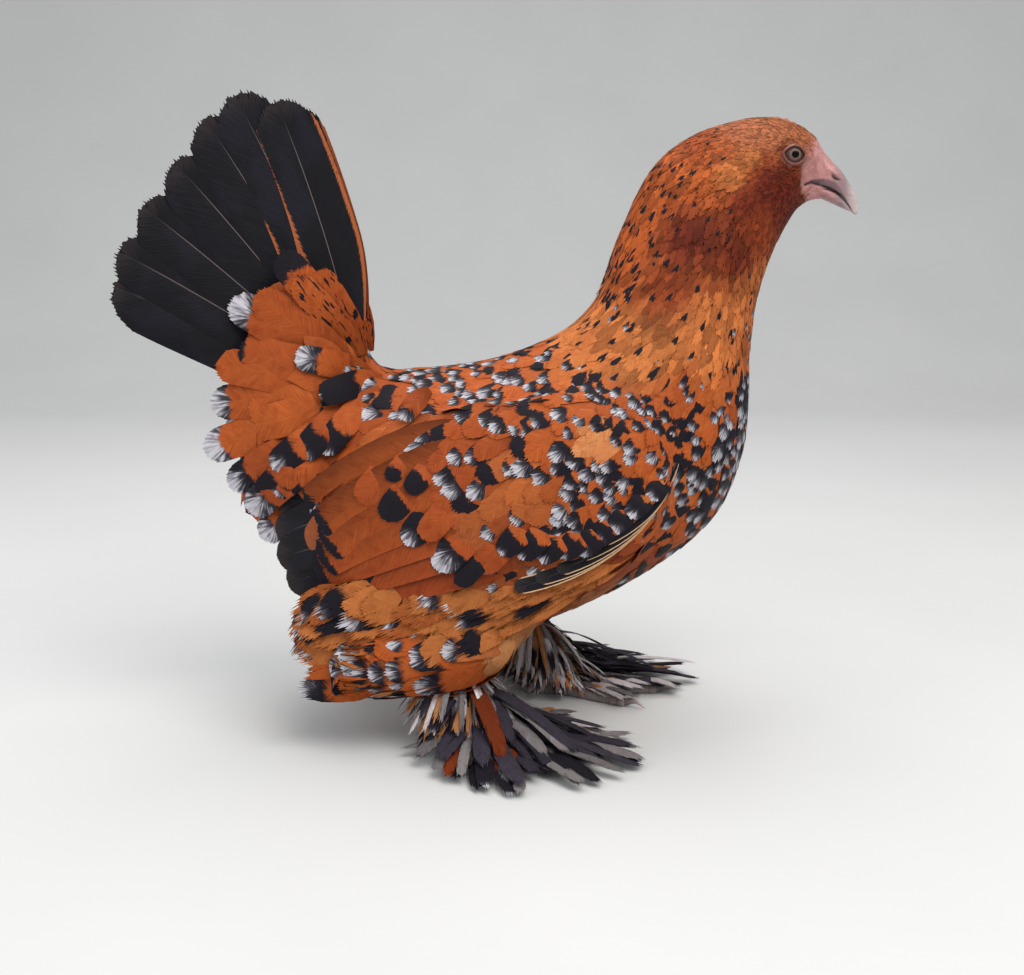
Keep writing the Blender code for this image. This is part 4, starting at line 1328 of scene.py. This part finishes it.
def make_flank_rows(body, feather):
    """Loose feathers that hang from under the wing over the flank, and the hock feathers' blunt end."""
    edge_x, edge_z = (-74, -36, 2, 25, 40, 55), (60, 62.5, 64, 68, 72, 77)
    # each row's height from the wing's edge, how far out it starts and ends, and its first and last x
    bands = ((-9, 38, 45, -66, 30), (-4, 41, 48, -64, 42), (1, 43, 49.5, -62, 52), (4, 44, 50, -58, 54))
    for side, name in SIDES:
        local = np.random.default_rng(300 + side)
        rows = []
        for drop, inner, outer, first, last in bands:
            for x in np.arange(first, last, 5.0):
                x = x + 4 * local.random()
                z = np.interp(x, edge_x, edge_z) + drop + 2 * local.random()
                wide = np.interp(x, (-60, 5, 20), (13, 11, 4.5)) * (0.8 + 0.4 * local.random())
                long = np.interp(x, (-60, 10, 50), (30, 27, 22)) * (0.8 + 0.4 * local.random())
                dip = np.interp(x, (-40, 20), (-0.30, -0.38)) - 0.22 * local.random()
                narrow = np.interp(x, (30, 54), (0, 7))
                colour = "tan" if x > 0 else ("sand", "tan")[local.integers(2)]
                end = max(x - long, -77)
                spotted = local.random() < np.interp(x, (5, 15), (0.42, 0.12))
                rows.append(
                    (x, z, end, z + dip * long, inner - narrow, outer - narrow, wide, spotted, colour)
                )
        loose = len(rows)
        for y in (46, 40, 34, 28):
            for z in (29, 34, 39, 44, 49, 54):
                back = 28 + 7 * local.random()
                colour = ("sand", "orange", "tan")[local.integers(3)]
                end_z, spotted = z - 4 + 6 * local.random(), local.random() < 0.6
                rows.append((-44, z, -44 - back, end_z, y, y - 2, 11.5, spotted, colour))
        n = len(rows)
        numbers = np.array([row[:8] for row in rows], float)
        inner, outer = numbers[:, 4], numbers[:, 5]
        bows = 4 * local.random(n) - 1
        free = over_skin(body, side, np.full(n, -0.5), 1.5 + 2.0 * local.random(n), lambda x, z: 0 * x)

        def out(x, z, t, i):
            sheet = inner[i] + (outer[i] - inner[i]) * t**0.7
            return np.maximum(free(x, z, t, i), sheet)

        spine, normal = laid(side, numbers[:, :2], numbers[:, 2:4], bows, out)
        roll = np.radians((46 - numbers[loose:, 4]) * 4.5) * local.choice([-1, 1], n - loose)
        rolled = np.column_stack([0 * roll, side * np.cos(roll), np.sin(roll)])
        normal[loose:] = rolled[:, None]
        ground = np.array([GROUND[row[8]] for row in rows]) * (0.85 + 0.2 * local.random((n, 1)))
        black = np.where(numbers[:, 7] > 0, 0.45 + 0.15 * local.random(n), 2.0)
        white = np.where(local.random(n) < 0.7, 0.8 + 0.5 * local.random(n), 0.0)
        mark = np.stack([black, white, 0.42 + 0.12 * local.random(n), np.full(n, 0.9)], 1)
        where = unwrap_round((20, 48))(spine[:, 0])
        obj = vanes(
            f"flank_{name}", spine, normal, numbers[:, 6], feather, ground, mark, where, rows=14, columns=27,
            under=(5, 5), tip=1.5, fringe=5.0, arch=0.08, seed=310 + side,
        )
        finish_piece(obj, "plumage")


# ---------------------------------------------------------------- the tail
TAIL_TURNS = (6, 12.5, 19, 28, 38, 47.5, 54)
TAIL_LENGTHS = (117, 124, 121, 115, 112, 110, 106)
TAIL_RIDGE, TAIL_LEAN = 12, 24  # degrees that the ridge leans back, and each half fan out
TAIL_START = 30  # how far from the root the vanes begin
TAIL_WIDTH = 29.0
TAIL_PITCH = 1.35  # from one feather's plane to the next
TAIL_MIDDLE = 7.5  # from the bird's middle plane to the ridge feather's shaft
TAIL_BOW, TAIL_FLARE = 2.0, 5.0  # how far the ridge feather bows forwards, and the tips curve outwards
# For each feather: the orange front edge, the orange rear edge and how far up that reaches
TAIL_EDGES = (
    (0.14, 0.40, 0.95), (0.0, 0.34, 0.52), (0.0, 0.16, 0.4), (0, 0, 0), (0, 0, 0), (0, 0, 0), (0, 0, 0),
)


def make_tail(quill):
    """Fourteen main tail feathers on two half fans that meet along the ridge."""
    ridge, lean = math.radians(TAIL_RIDGE), math.radians(TAIL_LEAN)
    rows, n = 44, len(TAIL_TURNS)
    t = np.linspace(0, 1, rows)
    for side, name in SIDES:
        up = np.array([-math.sin(ridge), 0, math.cos(ridge)])
        back = np.array([-math.cos(ridge), 0, -math.sin(ridge)])
        down = back * math.cos(lean) + np.array([0, side * math.sin(lean), 0])
        face = np.cross(up, down)
        face = face * np.sign(face[1] * side)
        spine = np.zeros((n, rows, 3))
        for i, (turn, length) in enumerate(zip(TAIL_TURNS, TAIL_LENGTHS)):
            a = math.radians(turn)
            along = up * math.cos(a) + down * math.sin(a)
            across = -up * math.sin(a) + down * math.cos(a)
            root = np.array([TAIL_ROOT[0], side * TAIL_MIDDLE, TAIL_ROOT[1]]) - face * TAIL_PITCH * i
            r = TAIL_START + (length + 1.0 - TAIL_START) * t
            bow = across * (4 * TAIL_BOW) * (1 - 0.12 * i)
            flare = TAIL_FLARE * (r / 120) ** 2 + 0.5
            spine[i] = root + along * r[:, None] - bow * (t * (1 - t))[:, None] + face * flare[:, None]
        edges = np.array(TAIL_EDGES, float)
        mark = np.column_stack([edges[:, 0], edges[:, 1], 0 * edges[:, 0], edges[:, 2]])
        obj = vanes(
            f"tail_feathers_{name}", spine, np.broadcast_to(face, spine.shape).copy(), np.full(n, TAIL_WIDTH),
            quill,
            plain("black", n), mark, shelf(n, 0, 1), rows=rows, columns=47, tip=1.15, base=0.5,
            taper=0.12, arch=0.16, thick=0.5, fringe=1.9, patch=(0.8 / n, 0.9), seed=90 + side,
            under=(26, 13),
        )
        if side > 0:
            layer = obj.data.uv_layers["FeatherUV"]
            uv = read(layer.data, "uv", 2)
            uv[:, 0] = 1 - uv[:, 0]
            layer.data.foreach_set("uv", uv.ravel())
        finish_piece(obj, "tail", *[f"tail_{name}_{i + 1}" for i in range(n)])


# ---------------------------------------------------------------- foot feathers
HEEL_TO_ANKLE = 18.1  # from the hind toe's end to the ankle
LEG_OUT = 27.0  # from the middle plane to each shank
HOCK_HIGH = 33.0
LAID_FEATHERS, LOOSE_FEATHERS, LONGEST_FEATHERS = 105, 520, 22  # on each foot
# Toes: turn from straight ahead, length, root radius, tip radius, number of pads
TOES = {
    "inner": (-32, 31, 3.3, 2.0, 2), "middle": (2, 42, 3.6, 2.1, 3), "outer": (36, 33, 3.3, 1.9, 4),
    "hind": (172, 18, 2.8, 1.9, 1),
}
# Colours of the foot feathers, how strong each is, and their shares on the near and far foot
BOOT_KINDS = [("black", 2.4), ("grey", 0.5), ("buff", 0.9), ("deep", 0.6), ("grey", 1.5)]
BOOT_SHARES = {"right": (0.40, 0.28, 0.12, 0.08, 0.12), "left": (0.74, 0.14, 0.02, 0.06, 0.04)}
PALE_SHARES = (0.05, 0.22, 0.22, 0.03, 0.48)


def make_boots(feather):
    """Feathers from the outer side of each shank and its toes, and loose ones all round the shank."""
    t = np.linspace(0, 1, 14)
    for side, name in SIDES:
        foot = (np.array(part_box(f"foot_{name}")[0]) / MM)[0] + HEEL_TO_ANKLE
        ankle = np.array([foot, side * 28.5, 0.0])
        hock = np.array([foot - 14.5, side * 28.0, HOCK_HIGH])
        local = np.random.default_rng(120 + side)
        solid = points_of(NODES[f"boot_{name}"].data) - ankle
        solid_turn, solid_reach = np.arctan2(solid[:, 1], solid[:, 0]), np.hypot(solid[:, 0], solid[:, 1])
        big, small = ([], [], [], []), ([], [], [], [])

        def feather_at(start, turn, long, rise, end, wide, shares):
            spines, width, tone, mark = big if wide > 4 else small
            heading = heading_of(turn)
            turned = np.array([-heading[1], heading[0]])
            curl = (local.random() - 0.5) * 0.36 * long * t**2
            flat = start[:2] + heading * (long * t)[:, None] + turned * curl[:, None]
            z = start[2] + (end - start[2]) * t**1.3 + rise * 4 * t * (1 - t)
            spines.append(np.column_stack([flat, np.maximum(z, 1.3 + 0.8 * local.random())]))
            width.append(wide * (0.7 + 0.6 * local.random()))
            colour, strength = BOOT_KINDS[local.choice(5, p=shares)]
            tone.append(GROUND[colour] * strength * (0.75 + 0.5 * local.random()))
            black = 0.5 + 0.2 * local.random() if local.random() < (0.3 if wide > 4 else 0.12) else 2.0
            mark.append([black, 0.9 * (local.random() < 0.5), 0.45, 1.0])

        def reach_at(turn):
            """How far from the ankle the foot's feathers reach that way."""
            gap = np.abs((solid_turn - turn + math.pi) % (2 * math.pi) - math.pi)
            return (solid_reach * np.cos(gap))[gap < math.radians(14)].max(initial=20.0)

        def on_shank(height, turn, out):
            start = ankle * (1 - height / HOCK_HIGH) + hock * (height / HOCK_HIGH)
            start = start + np.array([math.cos(turn), math.sin(turn), 0]) * out
            start[2] = height
            return start

        for i in range(LAID_FEATHERS):
            long_one = i < LONGEST_FEATHERS
            share = i / (LONGEST_FEATHERS - 1) if long_one else local.random()
            height = 3 + (10 if long_one else 24) * local.random() ** 1.3
            turn = math.radians(-6 + 160 * share) * side
            start = on_shank(height, turn, 3.0)
            gone = (start - ankle)[:2] @ heading_of(turn)
            full = reach_at(turn) - gone
            long = full * (1.02 if long_one else (1 - 0.012 * height) * (0.6 + 0.42 * local.random()))
            end = 1.5 + (0.30 * height + 2) * local.random()
            feather_at(start, turn, long, 1 + 3 * local.random(), end, 6, BOOT_SHARES[name])
        for _ in range(LOOSE_FEATHERS):
            height = 6 + 28 * local.random()
            turn = 2 * math.pi * local.random()
            long = (12 + 13 * local.random()) * (1 if math.sin(turn) * side > -0.3 else 0.6)
            rise = 1 + 3 * local.random()
            feather_at(
                on_shank(height, turn, 3.4), turn, long, rise, height * (0.2 + 0.3 * local.random()), 2.6,
                PALE_SHARES,
            )
        for toe, shift, count in (("inner", 0, 9), ("middle", -1, 16), ("outer", 1, 16)):
            turn, length = TOES[toe][:2]
            for _ in range(count):
                a = math.radians(turn + 34 * (local.random() - 0.5) + 8 * shift) * side
                run = length * (0.05 + 0.75 * local.random())
                way = np.array([math.cos(math.radians(turn)), side * math.sin(math.radians(turn)), 0])
                start = ankle + way * run + np.array([0, 0, 6.0])
                shares = BOOT_SHARES[name] if toe == "outer" else PALE_SHARES
                feather_at(start, a, 17 + 9 * local.random(), 1.5, 2 + 3 * local.random(), 5.5, shares)
        kinds = (("feathers", big, 13, 17, (6, 5)), ("down", small, 9, 7, (4, 3)))
        for label, made, rows, columns, under in kinds:
            spine = np.array(made[0])
            ahead = unit(np.gradient(spine, axis=1))
            normal = unit(np.array([0, 0, 1.0]) - ahead * ahead[..., 2:3])
            where = unwrap_round((27, 15))(spine[:, 3])
            obj = vanes(
                f"foot_{label}_{name}", spine, normal, np.array(made[1]), feather, np.array(made[2]),
                np.array(made[3]), where, rows=rows, columns=columns, under=under, tip=2.0, fringe=3.5,
                arch=0.15,
                seed=130 + side,
            )
            finish_piece(obj, "plumage", f"boot_{name}")


# ---------------------------------------------------------------- bill, eyes, feet
def spline(rows, count):
    """The rows' values at evenly spaced places on a smooth curve through them."""
    rows = np.array(rows, float)
    last = len(rows) - 1
    out = []
    for at in np.linspace(0, last, count):
        i = min(int(at), last - 1)
        f = at - i
        a, b, c, d = (rows[min(max(i + k, 0), last)] for k in (-1, 0, 1, 2))
        out.append(
            0.5 * (2 * b + (c - a) * f + (2 * a - 5 * b + 4 * c - d) * f**2 + (3 * b - a - 3 * c + d) * f**3)
        )
    return np.array(out)


def ring_quads(rows, sides):
    i, j = (v.ravel() for v in np.meshgrid(np.arange(rows - 1), np.arange(sides), indexing="ij"))
    k = (j + 1) % sides
    return np.stack([i * sides + j, i * sides + k, (i + 1) * sides + k, (i + 1) * sides + j], 1)


# Rows from the face to the tip: top x, z; bottom x, z; half width
BILL_UPPER = [
    (119, 229, 119, 218.8, 3.0), (123.2, 231.0, 121.4, 218.5, 3.6), (127.0, 230.6, 125.2, 217.8, 4.4),
    (130.7, 226.8, 127.8, 217.2, 4.85), (134.4, 223.2, 131.0, 216.0, 4.4), (137.9, 218.4, 134.8, 213.5, 3.4),
    (140.8, 213.4, 137.8, 210.1, 2.3), (141.9, 208.8, 139.7, 207.5, 1.2), (141.4, 206.7, 140.8, 206.5, 0.4),
]
BILL_LOWER = [
    (117, 216.6, 117, 214.6, 2.0), (120.8, 217.9, 120.4, 214.6, 2.8), (124.6, 217.8, 124.2, 213.8, 3.5),
    (128.2, 217.1, 127.8, 212.4, 3.9), (131.6, 215.8, 131.2, 211.0, 3.6), (134.6, 213.6, 134.2, 209.7, 2.8),
    (137.2, 210.8, 136.9, 208.5, 1.9), (139.0, 208.7, 138.8, 207.8, 0.8),
]
PINK = np.array([0.42, 0.20, 0.185])
MAUVE = np.array([0.27, 0.175, 0.185])
PALE_HORN = np.array([0.52, 0.41, 0.41])
# dark horn of the cutting edges; darker copies of it are painted shade in the gap between the closed
# mandibles
TOMIUM_AND_SHADE = np.array([0.075, 0.045, 0.055])


def make_bill(horn):
    for name, rows, count in (("bill_upper", BILL_UPPER, 60), ("bill_lower", BILL_LOWER, 40)):
        upper = name == "bill_upper"
        r = spline(rows, count)
        top = np.column_stack([r[:, 0], 0 * r[:, 0], r[:, 1]])
        low = np.column_stack([r[:, 2], 0 * r[:, 0], r[:, 3]])
        if upper:  # a rounded ridge, a steep wall down to the cutting edge, and a hollow palate
            a = np.linspace(0, math.radians(100), 16)
            wall = np.linspace(np.cos(a[-1]), -1, 10)[1:]
            height = np.concatenate([np.cos(a), wall, [-0.85, -0.70, -0.62]])
            reach = np.concatenate([np.sin(a), 0.985 - 0.05 * (wall**2), [0.70, 0.35, 0.0]])
        else:
            a = np.linspace(0, math.pi, 25)
            height, reach = np.cos(a), np.sin(a) ** 0.8
            reach[-1] = 0
        height = np.concatenate([height, height[-2:0:-1]])
        reach = np.concatenate([reach, -reach[-2:0:-1]])
        sides = len(height)
        co = (top + low)[:, None] / 2 + (top - low)[:, None] / 2 * height[None, :, None]
        co[..., 1] = r[:, 4][:, None] * reach[None]
        forward = co[..., 0]
        tint = mixed(PINK + 0 * co, MAUVE, ramp(forward, 129.0, 134.5))
        tint = mixed(tint, PALE_HORN, ramp(forward, 134.0, 141.0))
        if upper:
            rise = co[..., 2] - mouth_line(forward)
            dark = (1 - ramp(rise / wedge(forward), 0.8, 1.2)) * (1 - ramp(forward, 131, 137))
            tint = mixed(tint, TOMIUM_AND_SHADE * 1.4, 0.85 * dark)
            # painted shade: a dark line along the mouth, in the gap between the mandibles
            edge = np.exp(-((rise / 0.5) ** 2)) * (1 - ramp(forward, 134, 139.5))
            tint = mixed(tint, TOMIUM_AND_SHADE * 0.4, 0.9 * edge)
            # nostril: a slit under a soft raised flap
            u = (forward - 131.2) * 0.83 - (co[..., 2] - 220.3) * 0.55
            v = (forward - 131.2) * 0.55 + (co[..., 2] - 220.3) * 0.83
            flap = np.exp(-(((u + 0.6) / 2.4) ** 2) - ((v - 1.5) / 1.2) ** 2)
            slit = np.exp(-((u / 1.9) ** 4) - ((v - 0.14 * u * u) / 0.42) ** 2)
            co[..., 1] += np.sign(co[..., 1]) * (0.8 * flap - 1.2 * slit) * (np.abs(co[..., 1]) > 1.0)
            tint = mixed(tint, PINK, 0.8 * flap)
            tint = mixed(tint, TOMIUM_AND_SHADE * 0.25, np.clip(1.3 * slit, 0, 0.97))
        else:
            tint = mixed(tint, TOMIUM_AND_SHADE, 0.6 * ramp(height, 0.5, 0.9)[None] * (1 - ramp(forward, 130, 135)))
            tint = mixed(
                tint, TOMIUM_AND_SHADE * 2,
                0.35 * np.exp(-(((forward - 128.5) / 2.5) ** 2)) * ramp(-height, -0.3, 0.2)[None],
            )
        obj = mesh_object(f"{name}_horn", co.reshape(-1, 3), ring_quads(count, sides), horn)
        add_colour(obj, "Horn", np.column_stack([tint.reshape(-1, 3), np.ones(count * sides)]))
        finish_piece(obj, "bill", name)


def make_eyes(eye, lid):
    for side, name in SIDES:
        centre = np.array([EYE[0], side * abs(EYE[1]), EYE[2]])
        rings, segments = 30, 48
        a = np.linspace(0.01, math.pi - 0.3, rings)
        b = np.linspace(0, 2 * math.pi, segments, endpoint=False)
        radius = EYE_RADIUS * (0.965 + 0.03 * np.exp(-((a / 0.5) ** 2)))
        flat = np.sin(a)[:, None, None] * np.stack([np.cos(b), np.sin(b)], -1)[None]
        x = (radius * np.sin(a))[:, None] * np.cos(b)[None]
        z = (radius * np.sin(a))[:, None] * np.sin(b)[None]
        y = (radius * np.cos(a))[:, None] * np.ones_like(b)[None] * side
        co = np.stack([x, y, z], -1).reshape(-1, 3) + centre
        quads = ring_quads(rings, segments)
        obj = mesh_object(f"eyeball_{name}", co, quads[:, ::-1] if side < 0 else quads, eye)
        flat = flat.reshape(-1, 2)
        add_uv(obj, "EyeUV", flat * EYE_RADIUS / 4.0 + np.array([-0.02, 0.0]))
        add_uv(obj, "OFBake", 0.5 + flat * 0.45)
        finish_piece(obj, "eye", f"eye_{name}")
        make_lid_rim(side, name, centre, lid)


def make_lid_rim(side, name, centre, lid):
    """The dark wet rim of the lids, round the opening that the skin leaves."""
    turns = np.linspace(0, 2 * math.pi, 121)[:-1]
    ray = np.column_stack([EYE[0] + np.cos(turns), 0 * turns, EYE[2] + np.sin(turns)])
    reach = 1 / eye_distance(ray)[0]
    for _ in range(4):
        spot = np.column_stack([EYE[0] + reach * np.cos(turns), 0 * turns, EYE[2] + reach * np.sin(turns)])
        reach = reach / eye_distance(spot)[0]
    fold = np.maximum(np.cos(turns - math.radians(50)), 0)
    reach = reach * (1 - 0.06 * fold)
    out = np.sqrt(EYE_RADIUS**2 - reach**2) + 0.10
    path = centre + np.column_stack([reach * np.cos(turns), side * out, reach * np.sin(turns)])
    ahead = unit(np.roll(path, -1, 0) - np.roll(path, 1, 0))
    face = np.tile([0, side, 0.0], (len(path), 1))
    across = unit(np.cross(face, ahead))
    b = np.linspace(0, 2 * math.pi, 10, endpoint=False)
    round_path = across[:, None] * np.cos(b)[None, :, None] + face[:, None] * np.sin(b)[None, :, None]
    ring = path[:, None] + (0.24 + 0.26 * fold)[:, None, None] * round_path
    closed = np.concatenate([ring, ring[:1]]).reshape(-1, 3)
    obj = mesh_object(f"lid_rim_{name}", closed, ring_quads(len(path) + 1, 10), lid)
    add_colour(obj, "Skin", np.tile([0.032, 0.010, 0.009, 1.0], (len(closed), 1)))
    finish_piece(obj, "skin")


def make_comb(lid):
    """A pullet's comb, still hardly more than a row of low points on the forehead."""
    start, end = np.array([107.0, 243.6]), np.array([121.5, 234.5])
    count = 90
    t = np.linspace(0, 1, count)
    along = end - start
    out = np.array([-along[1], along[0]]) / np.hypot(*along)
    base = start + along * t[:, None] + out * (2.0 * np.sin(math.pi * t))[:, None]
    high = 0.9 * np.sin(math.pi * t) ** 0.6 * (0.35 + 0.65 * np.abs(np.sin(math.pi * 5 * t)) ** 1.5)
    profile = ((-1.2, 1.2), (0.0, 0.7), (0.45, 0.45), (0.8, 0.3), (1.0, 0.1))
    loop = [*profile, *[(share, -half) for share, half in profile[::-1]]]
    co = []
    for share, half in loop:
        level = base + out * (share * high if share > 0 else np.full(count, share))[:, None]
        co.append(np.column_stack([level[:, 0], np.full(count, half), level[:, 1]]))
    obj = mesh_object("comb_skin", np.stack(co, 1).reshape(-1, 3), ring_quads(count, len(loop)), lid)
    add_colour(obj, "Skin", np.tile([0.36, 0.13, 0.07, 1.0], (count * len(loop), 1)))
    finish_piece(obj, "skin", "comb")


def tube(centres, widths, heights, sides):
    """Points and quads of a tube with oval sections."""
    ahead = unit(np.gradient(centres, axis=0))
    across = unit(np.cross([0, 0, 1.0], ahead))
    up = unit(np.cross(ahead, across))
    a = np.linspace(0, 2 * math.pi, sides, endpoint=False)
    wide = across[:, None] * (np.cos(a)[None] * widths[:, None])[..., None]
    tall = up[:, None] * (np.sin(a)[None] * heights[:, None])[..., None]
    return (centres[:, None] + wide + tall).reshape(-1, 3), ring_quads(len(centres), sides)


def make_feet(scute, horn):
    for side, name in SIDES:
        ankle = np.array([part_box(f"foot_{name}")[0].x / MM + HEEL_TO_ANKLE, side * LEG_OUT, 0])
        shank_low, shank_high = (np.array(v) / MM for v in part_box(f"shank_{name}"))
        parts, claws = [], []

        def scaled(path, radii, pitch):
            run = np.concatenate([[0], np.cumsum(np.linalg.norm(np.diff(path, axis=0), axis=1))])
            phase = (run / pitch) % 1.0
            plate = 0.22 * (1 - phase) ** 1.5
            points, quads = tube(path, radii + plate * 0.6, radii * 0.95 + plate, 20)
            seam = np.repeat(((phase > 0.86) | (phase < 0.05)).astype(float), 20)
            dust = np.repeat(0.35 + 0.4 * np.sin(run * 0.7) ** 2, 20)
            parts.append((points, quads, np.column_stack([seam, dust, 0 * seam, 0 * seam + 1])))

        hock = np.array([shank_low[0] + 2.2, side * LEG_OUT, shank_high[2] + 3])
        foot = np.array([ankle[0] - 0.4, side * LEG_OUT, 5.0])
        t = np.linspace(0, 1, 60)[:, None]
        scaled(hock * (1 - t) + foot * t, 3.4 + 0.7 * np.cos(t[:, 0] * math.pi) ** 2, 2.1)
        sole = np.column_stack([np.full(12, ankle[0]), np.full(12, ankle[1]), np.linspace(1.0, 8.4, 12)])
        scaled(sole, np.linspace(5.0, 4.0, 12), 2.0)
        for turn, length, root, tip, pads in TOES.values():
            heading = np.array([math.cos(math.radians(turn)), side * math.sin(math.radians(turn)), 0])
            t = np.linspace(0, 1, 64)
            radius = (root + (tip - root) * t) * (1 + 0.07 * np.cos(t * pads * 2 * math.pi))
            radius[-3:] *= (0.9, 0.6, 0.1)
            high = root - 0.45 + (tip - root) * t
            path = ankle + heading * (length * t)[:, None] + np.array([0, 0, 1.0]) * high[:, None]
            scaled(path, radius, 1.7)
            c = np.linspace(0, 1, 22)
            lift = 0.5 + 1.6 * np.sin(math.pi * c) - 1.2 * c
            claw = path[-1] + heading * (9.4 * c - 0.8)[:, None] + np.array([0, 0, 1.0]) * lift[:, None]
            thin = tip * 0.78 * (1 - c**1.3) + 0.15
            claws.append(tube(claw, thin * 0.8, thin, 14))
        co, quads = joined([(points, faces) for points, faces, _ in parts])
        co[:, 2] = np.maximum(co[:, 2], 0.02)
        obj = mesh_object(f"foot_scutes_{name}", co, quads, scute)
        add_colour(obj, "Scute", np.concatenate([shade for _, _, shade in parts]))
        finish_piece(obj, "scales", f"foot_{name}", f"shank_{name}")
        co, quads = joined(claws)
        co[:, 2] = np.maximum(co[:, 2], 0.05)
        obj = mesh_object(f"claws_horn_{name}", co, quads, horn)
        share = np.repeat(ramp(np.linspace(0, 1, 22), 0.1, 1.0), 14)
        tone = mixed(np.tile([0.16, 0.12, 0.12], (len(share), 1)), PALE_HORN, share)
        add_colour(obj, "Horn", np.column_stack([np.tile(tone, (4, 1)), np.ones(4 * len(share))]))
        finish_piece(obj, "bill", *[f"claw_{toe}_{name}" for toe in TOES])


def joined(parts):
    """Several lists of points and faces as one."""
    at = np.cumsum([0] + [len(points) for points, _ in parts])
    return np.concatenate([points for points, _ in parts]), np.concatenate(
        [q + k for (_, q), k in zip(parts, at)]
    )


# ---------------------------------------------------------------- stage
def make_stage():
    """A pale sweep of floor, soft studio light and the camera."""
    t = np.linspace(0, 1, 60)
    y = np.concatenate([np.linspace(-2.2, 1.0, 20), 1.0 + 0.9 * np.sin(t * math.pi / 2), np.full(10, 1.9)])
    z = np.concatenate([np.zeros(20), 0.9 * (1 - np.cos(t * math.pi / 2)), np.linspace(0.9, 3.0, 10)])
    co = np.array([(x, yy, zz) for yy, zz in zip(y, z) for x in (-3.0, 3.0)]) / MM
    floor = mesh_object(
        "floor", co, [(2 * i, 2 * i + 1, 2 * i + 3, 2 * i + 2) for i in range(len(y) - 1)], floor_material()
    )
    world = bpy.data.worlds.new("studio")
    bpy.context.scene.world = world
    world.use_nodes = True
    world.node_tree.nodes["Background"].inputs["Color"].default_value = (0.93, 0.96, 1.0, 1)
    world.node_tree.nodes["Background"].inputs["Strength"].default_value = 0.55
    for name, place, power, size, tint in (
        ("key", (0.45, -0.75, 1.25), 17, 0.9, (1, 0.975, 0.94)),
        ("fill", (-1.0, -0.7, 0.7), 6, 1.1, (0.93, 0.96, 1)),
        ("top", (-0.1, 0.25, 1.3), 9, 1.0, (1, 1, 1)),
    ):
        data = bpy.data.lights.new(name, "AREA")
        data.energy, data.size, data.color = power, size, tint
        lamp = bpy.data.objects.new(name, data)
        bpy.context.scene.collection.objects.link(lamp)
        lamp.location = place
        lamp.rotation_euler = (Vector((0, 0, 0.12)) - Vector(place)).to_track_quat("-Z", "Y").to_euler()
    camera = bpy.data.cameras.new("camera")
    camera.sensor_width = 36
    camera.lens = CAMERA_LENS
    eye = bpy.data.objects.new("camera", camera)
    bpy.context.scene.collection.objects.link(eye)
    eye.location = np.array(CAMERA) * MM
    eye.rotation_euler = (math.radians(90 - CAMERA_TILT), 0, 0)
    bpy.context.scene.camera = eye
    bpy.context.scene.view_settings.view_transform = "Standard"


def main():
    feather, quill, horn, surface = feather_material(), quill_material(), horn_material(), skin_material()
    skin = make_skin()
    paint_skin(skin)
    skin.data.materials.append(surface)
    finish_piece(skin, "skin", *FLESH)
    body = Body(skin)
    make_coat(body, feather)
    make_wing(body, feather, quill)
    make_laid_coverts(body, feather)
    make_flank_rows(body, feather)
    make_tail(quill)
    make_boots(feather)
    make_bill(horn)
    make_eyes(eye_material(), surface)
    make_comb(surface)
    make_feet(scute_material(), horn)
    make_stage()


main()
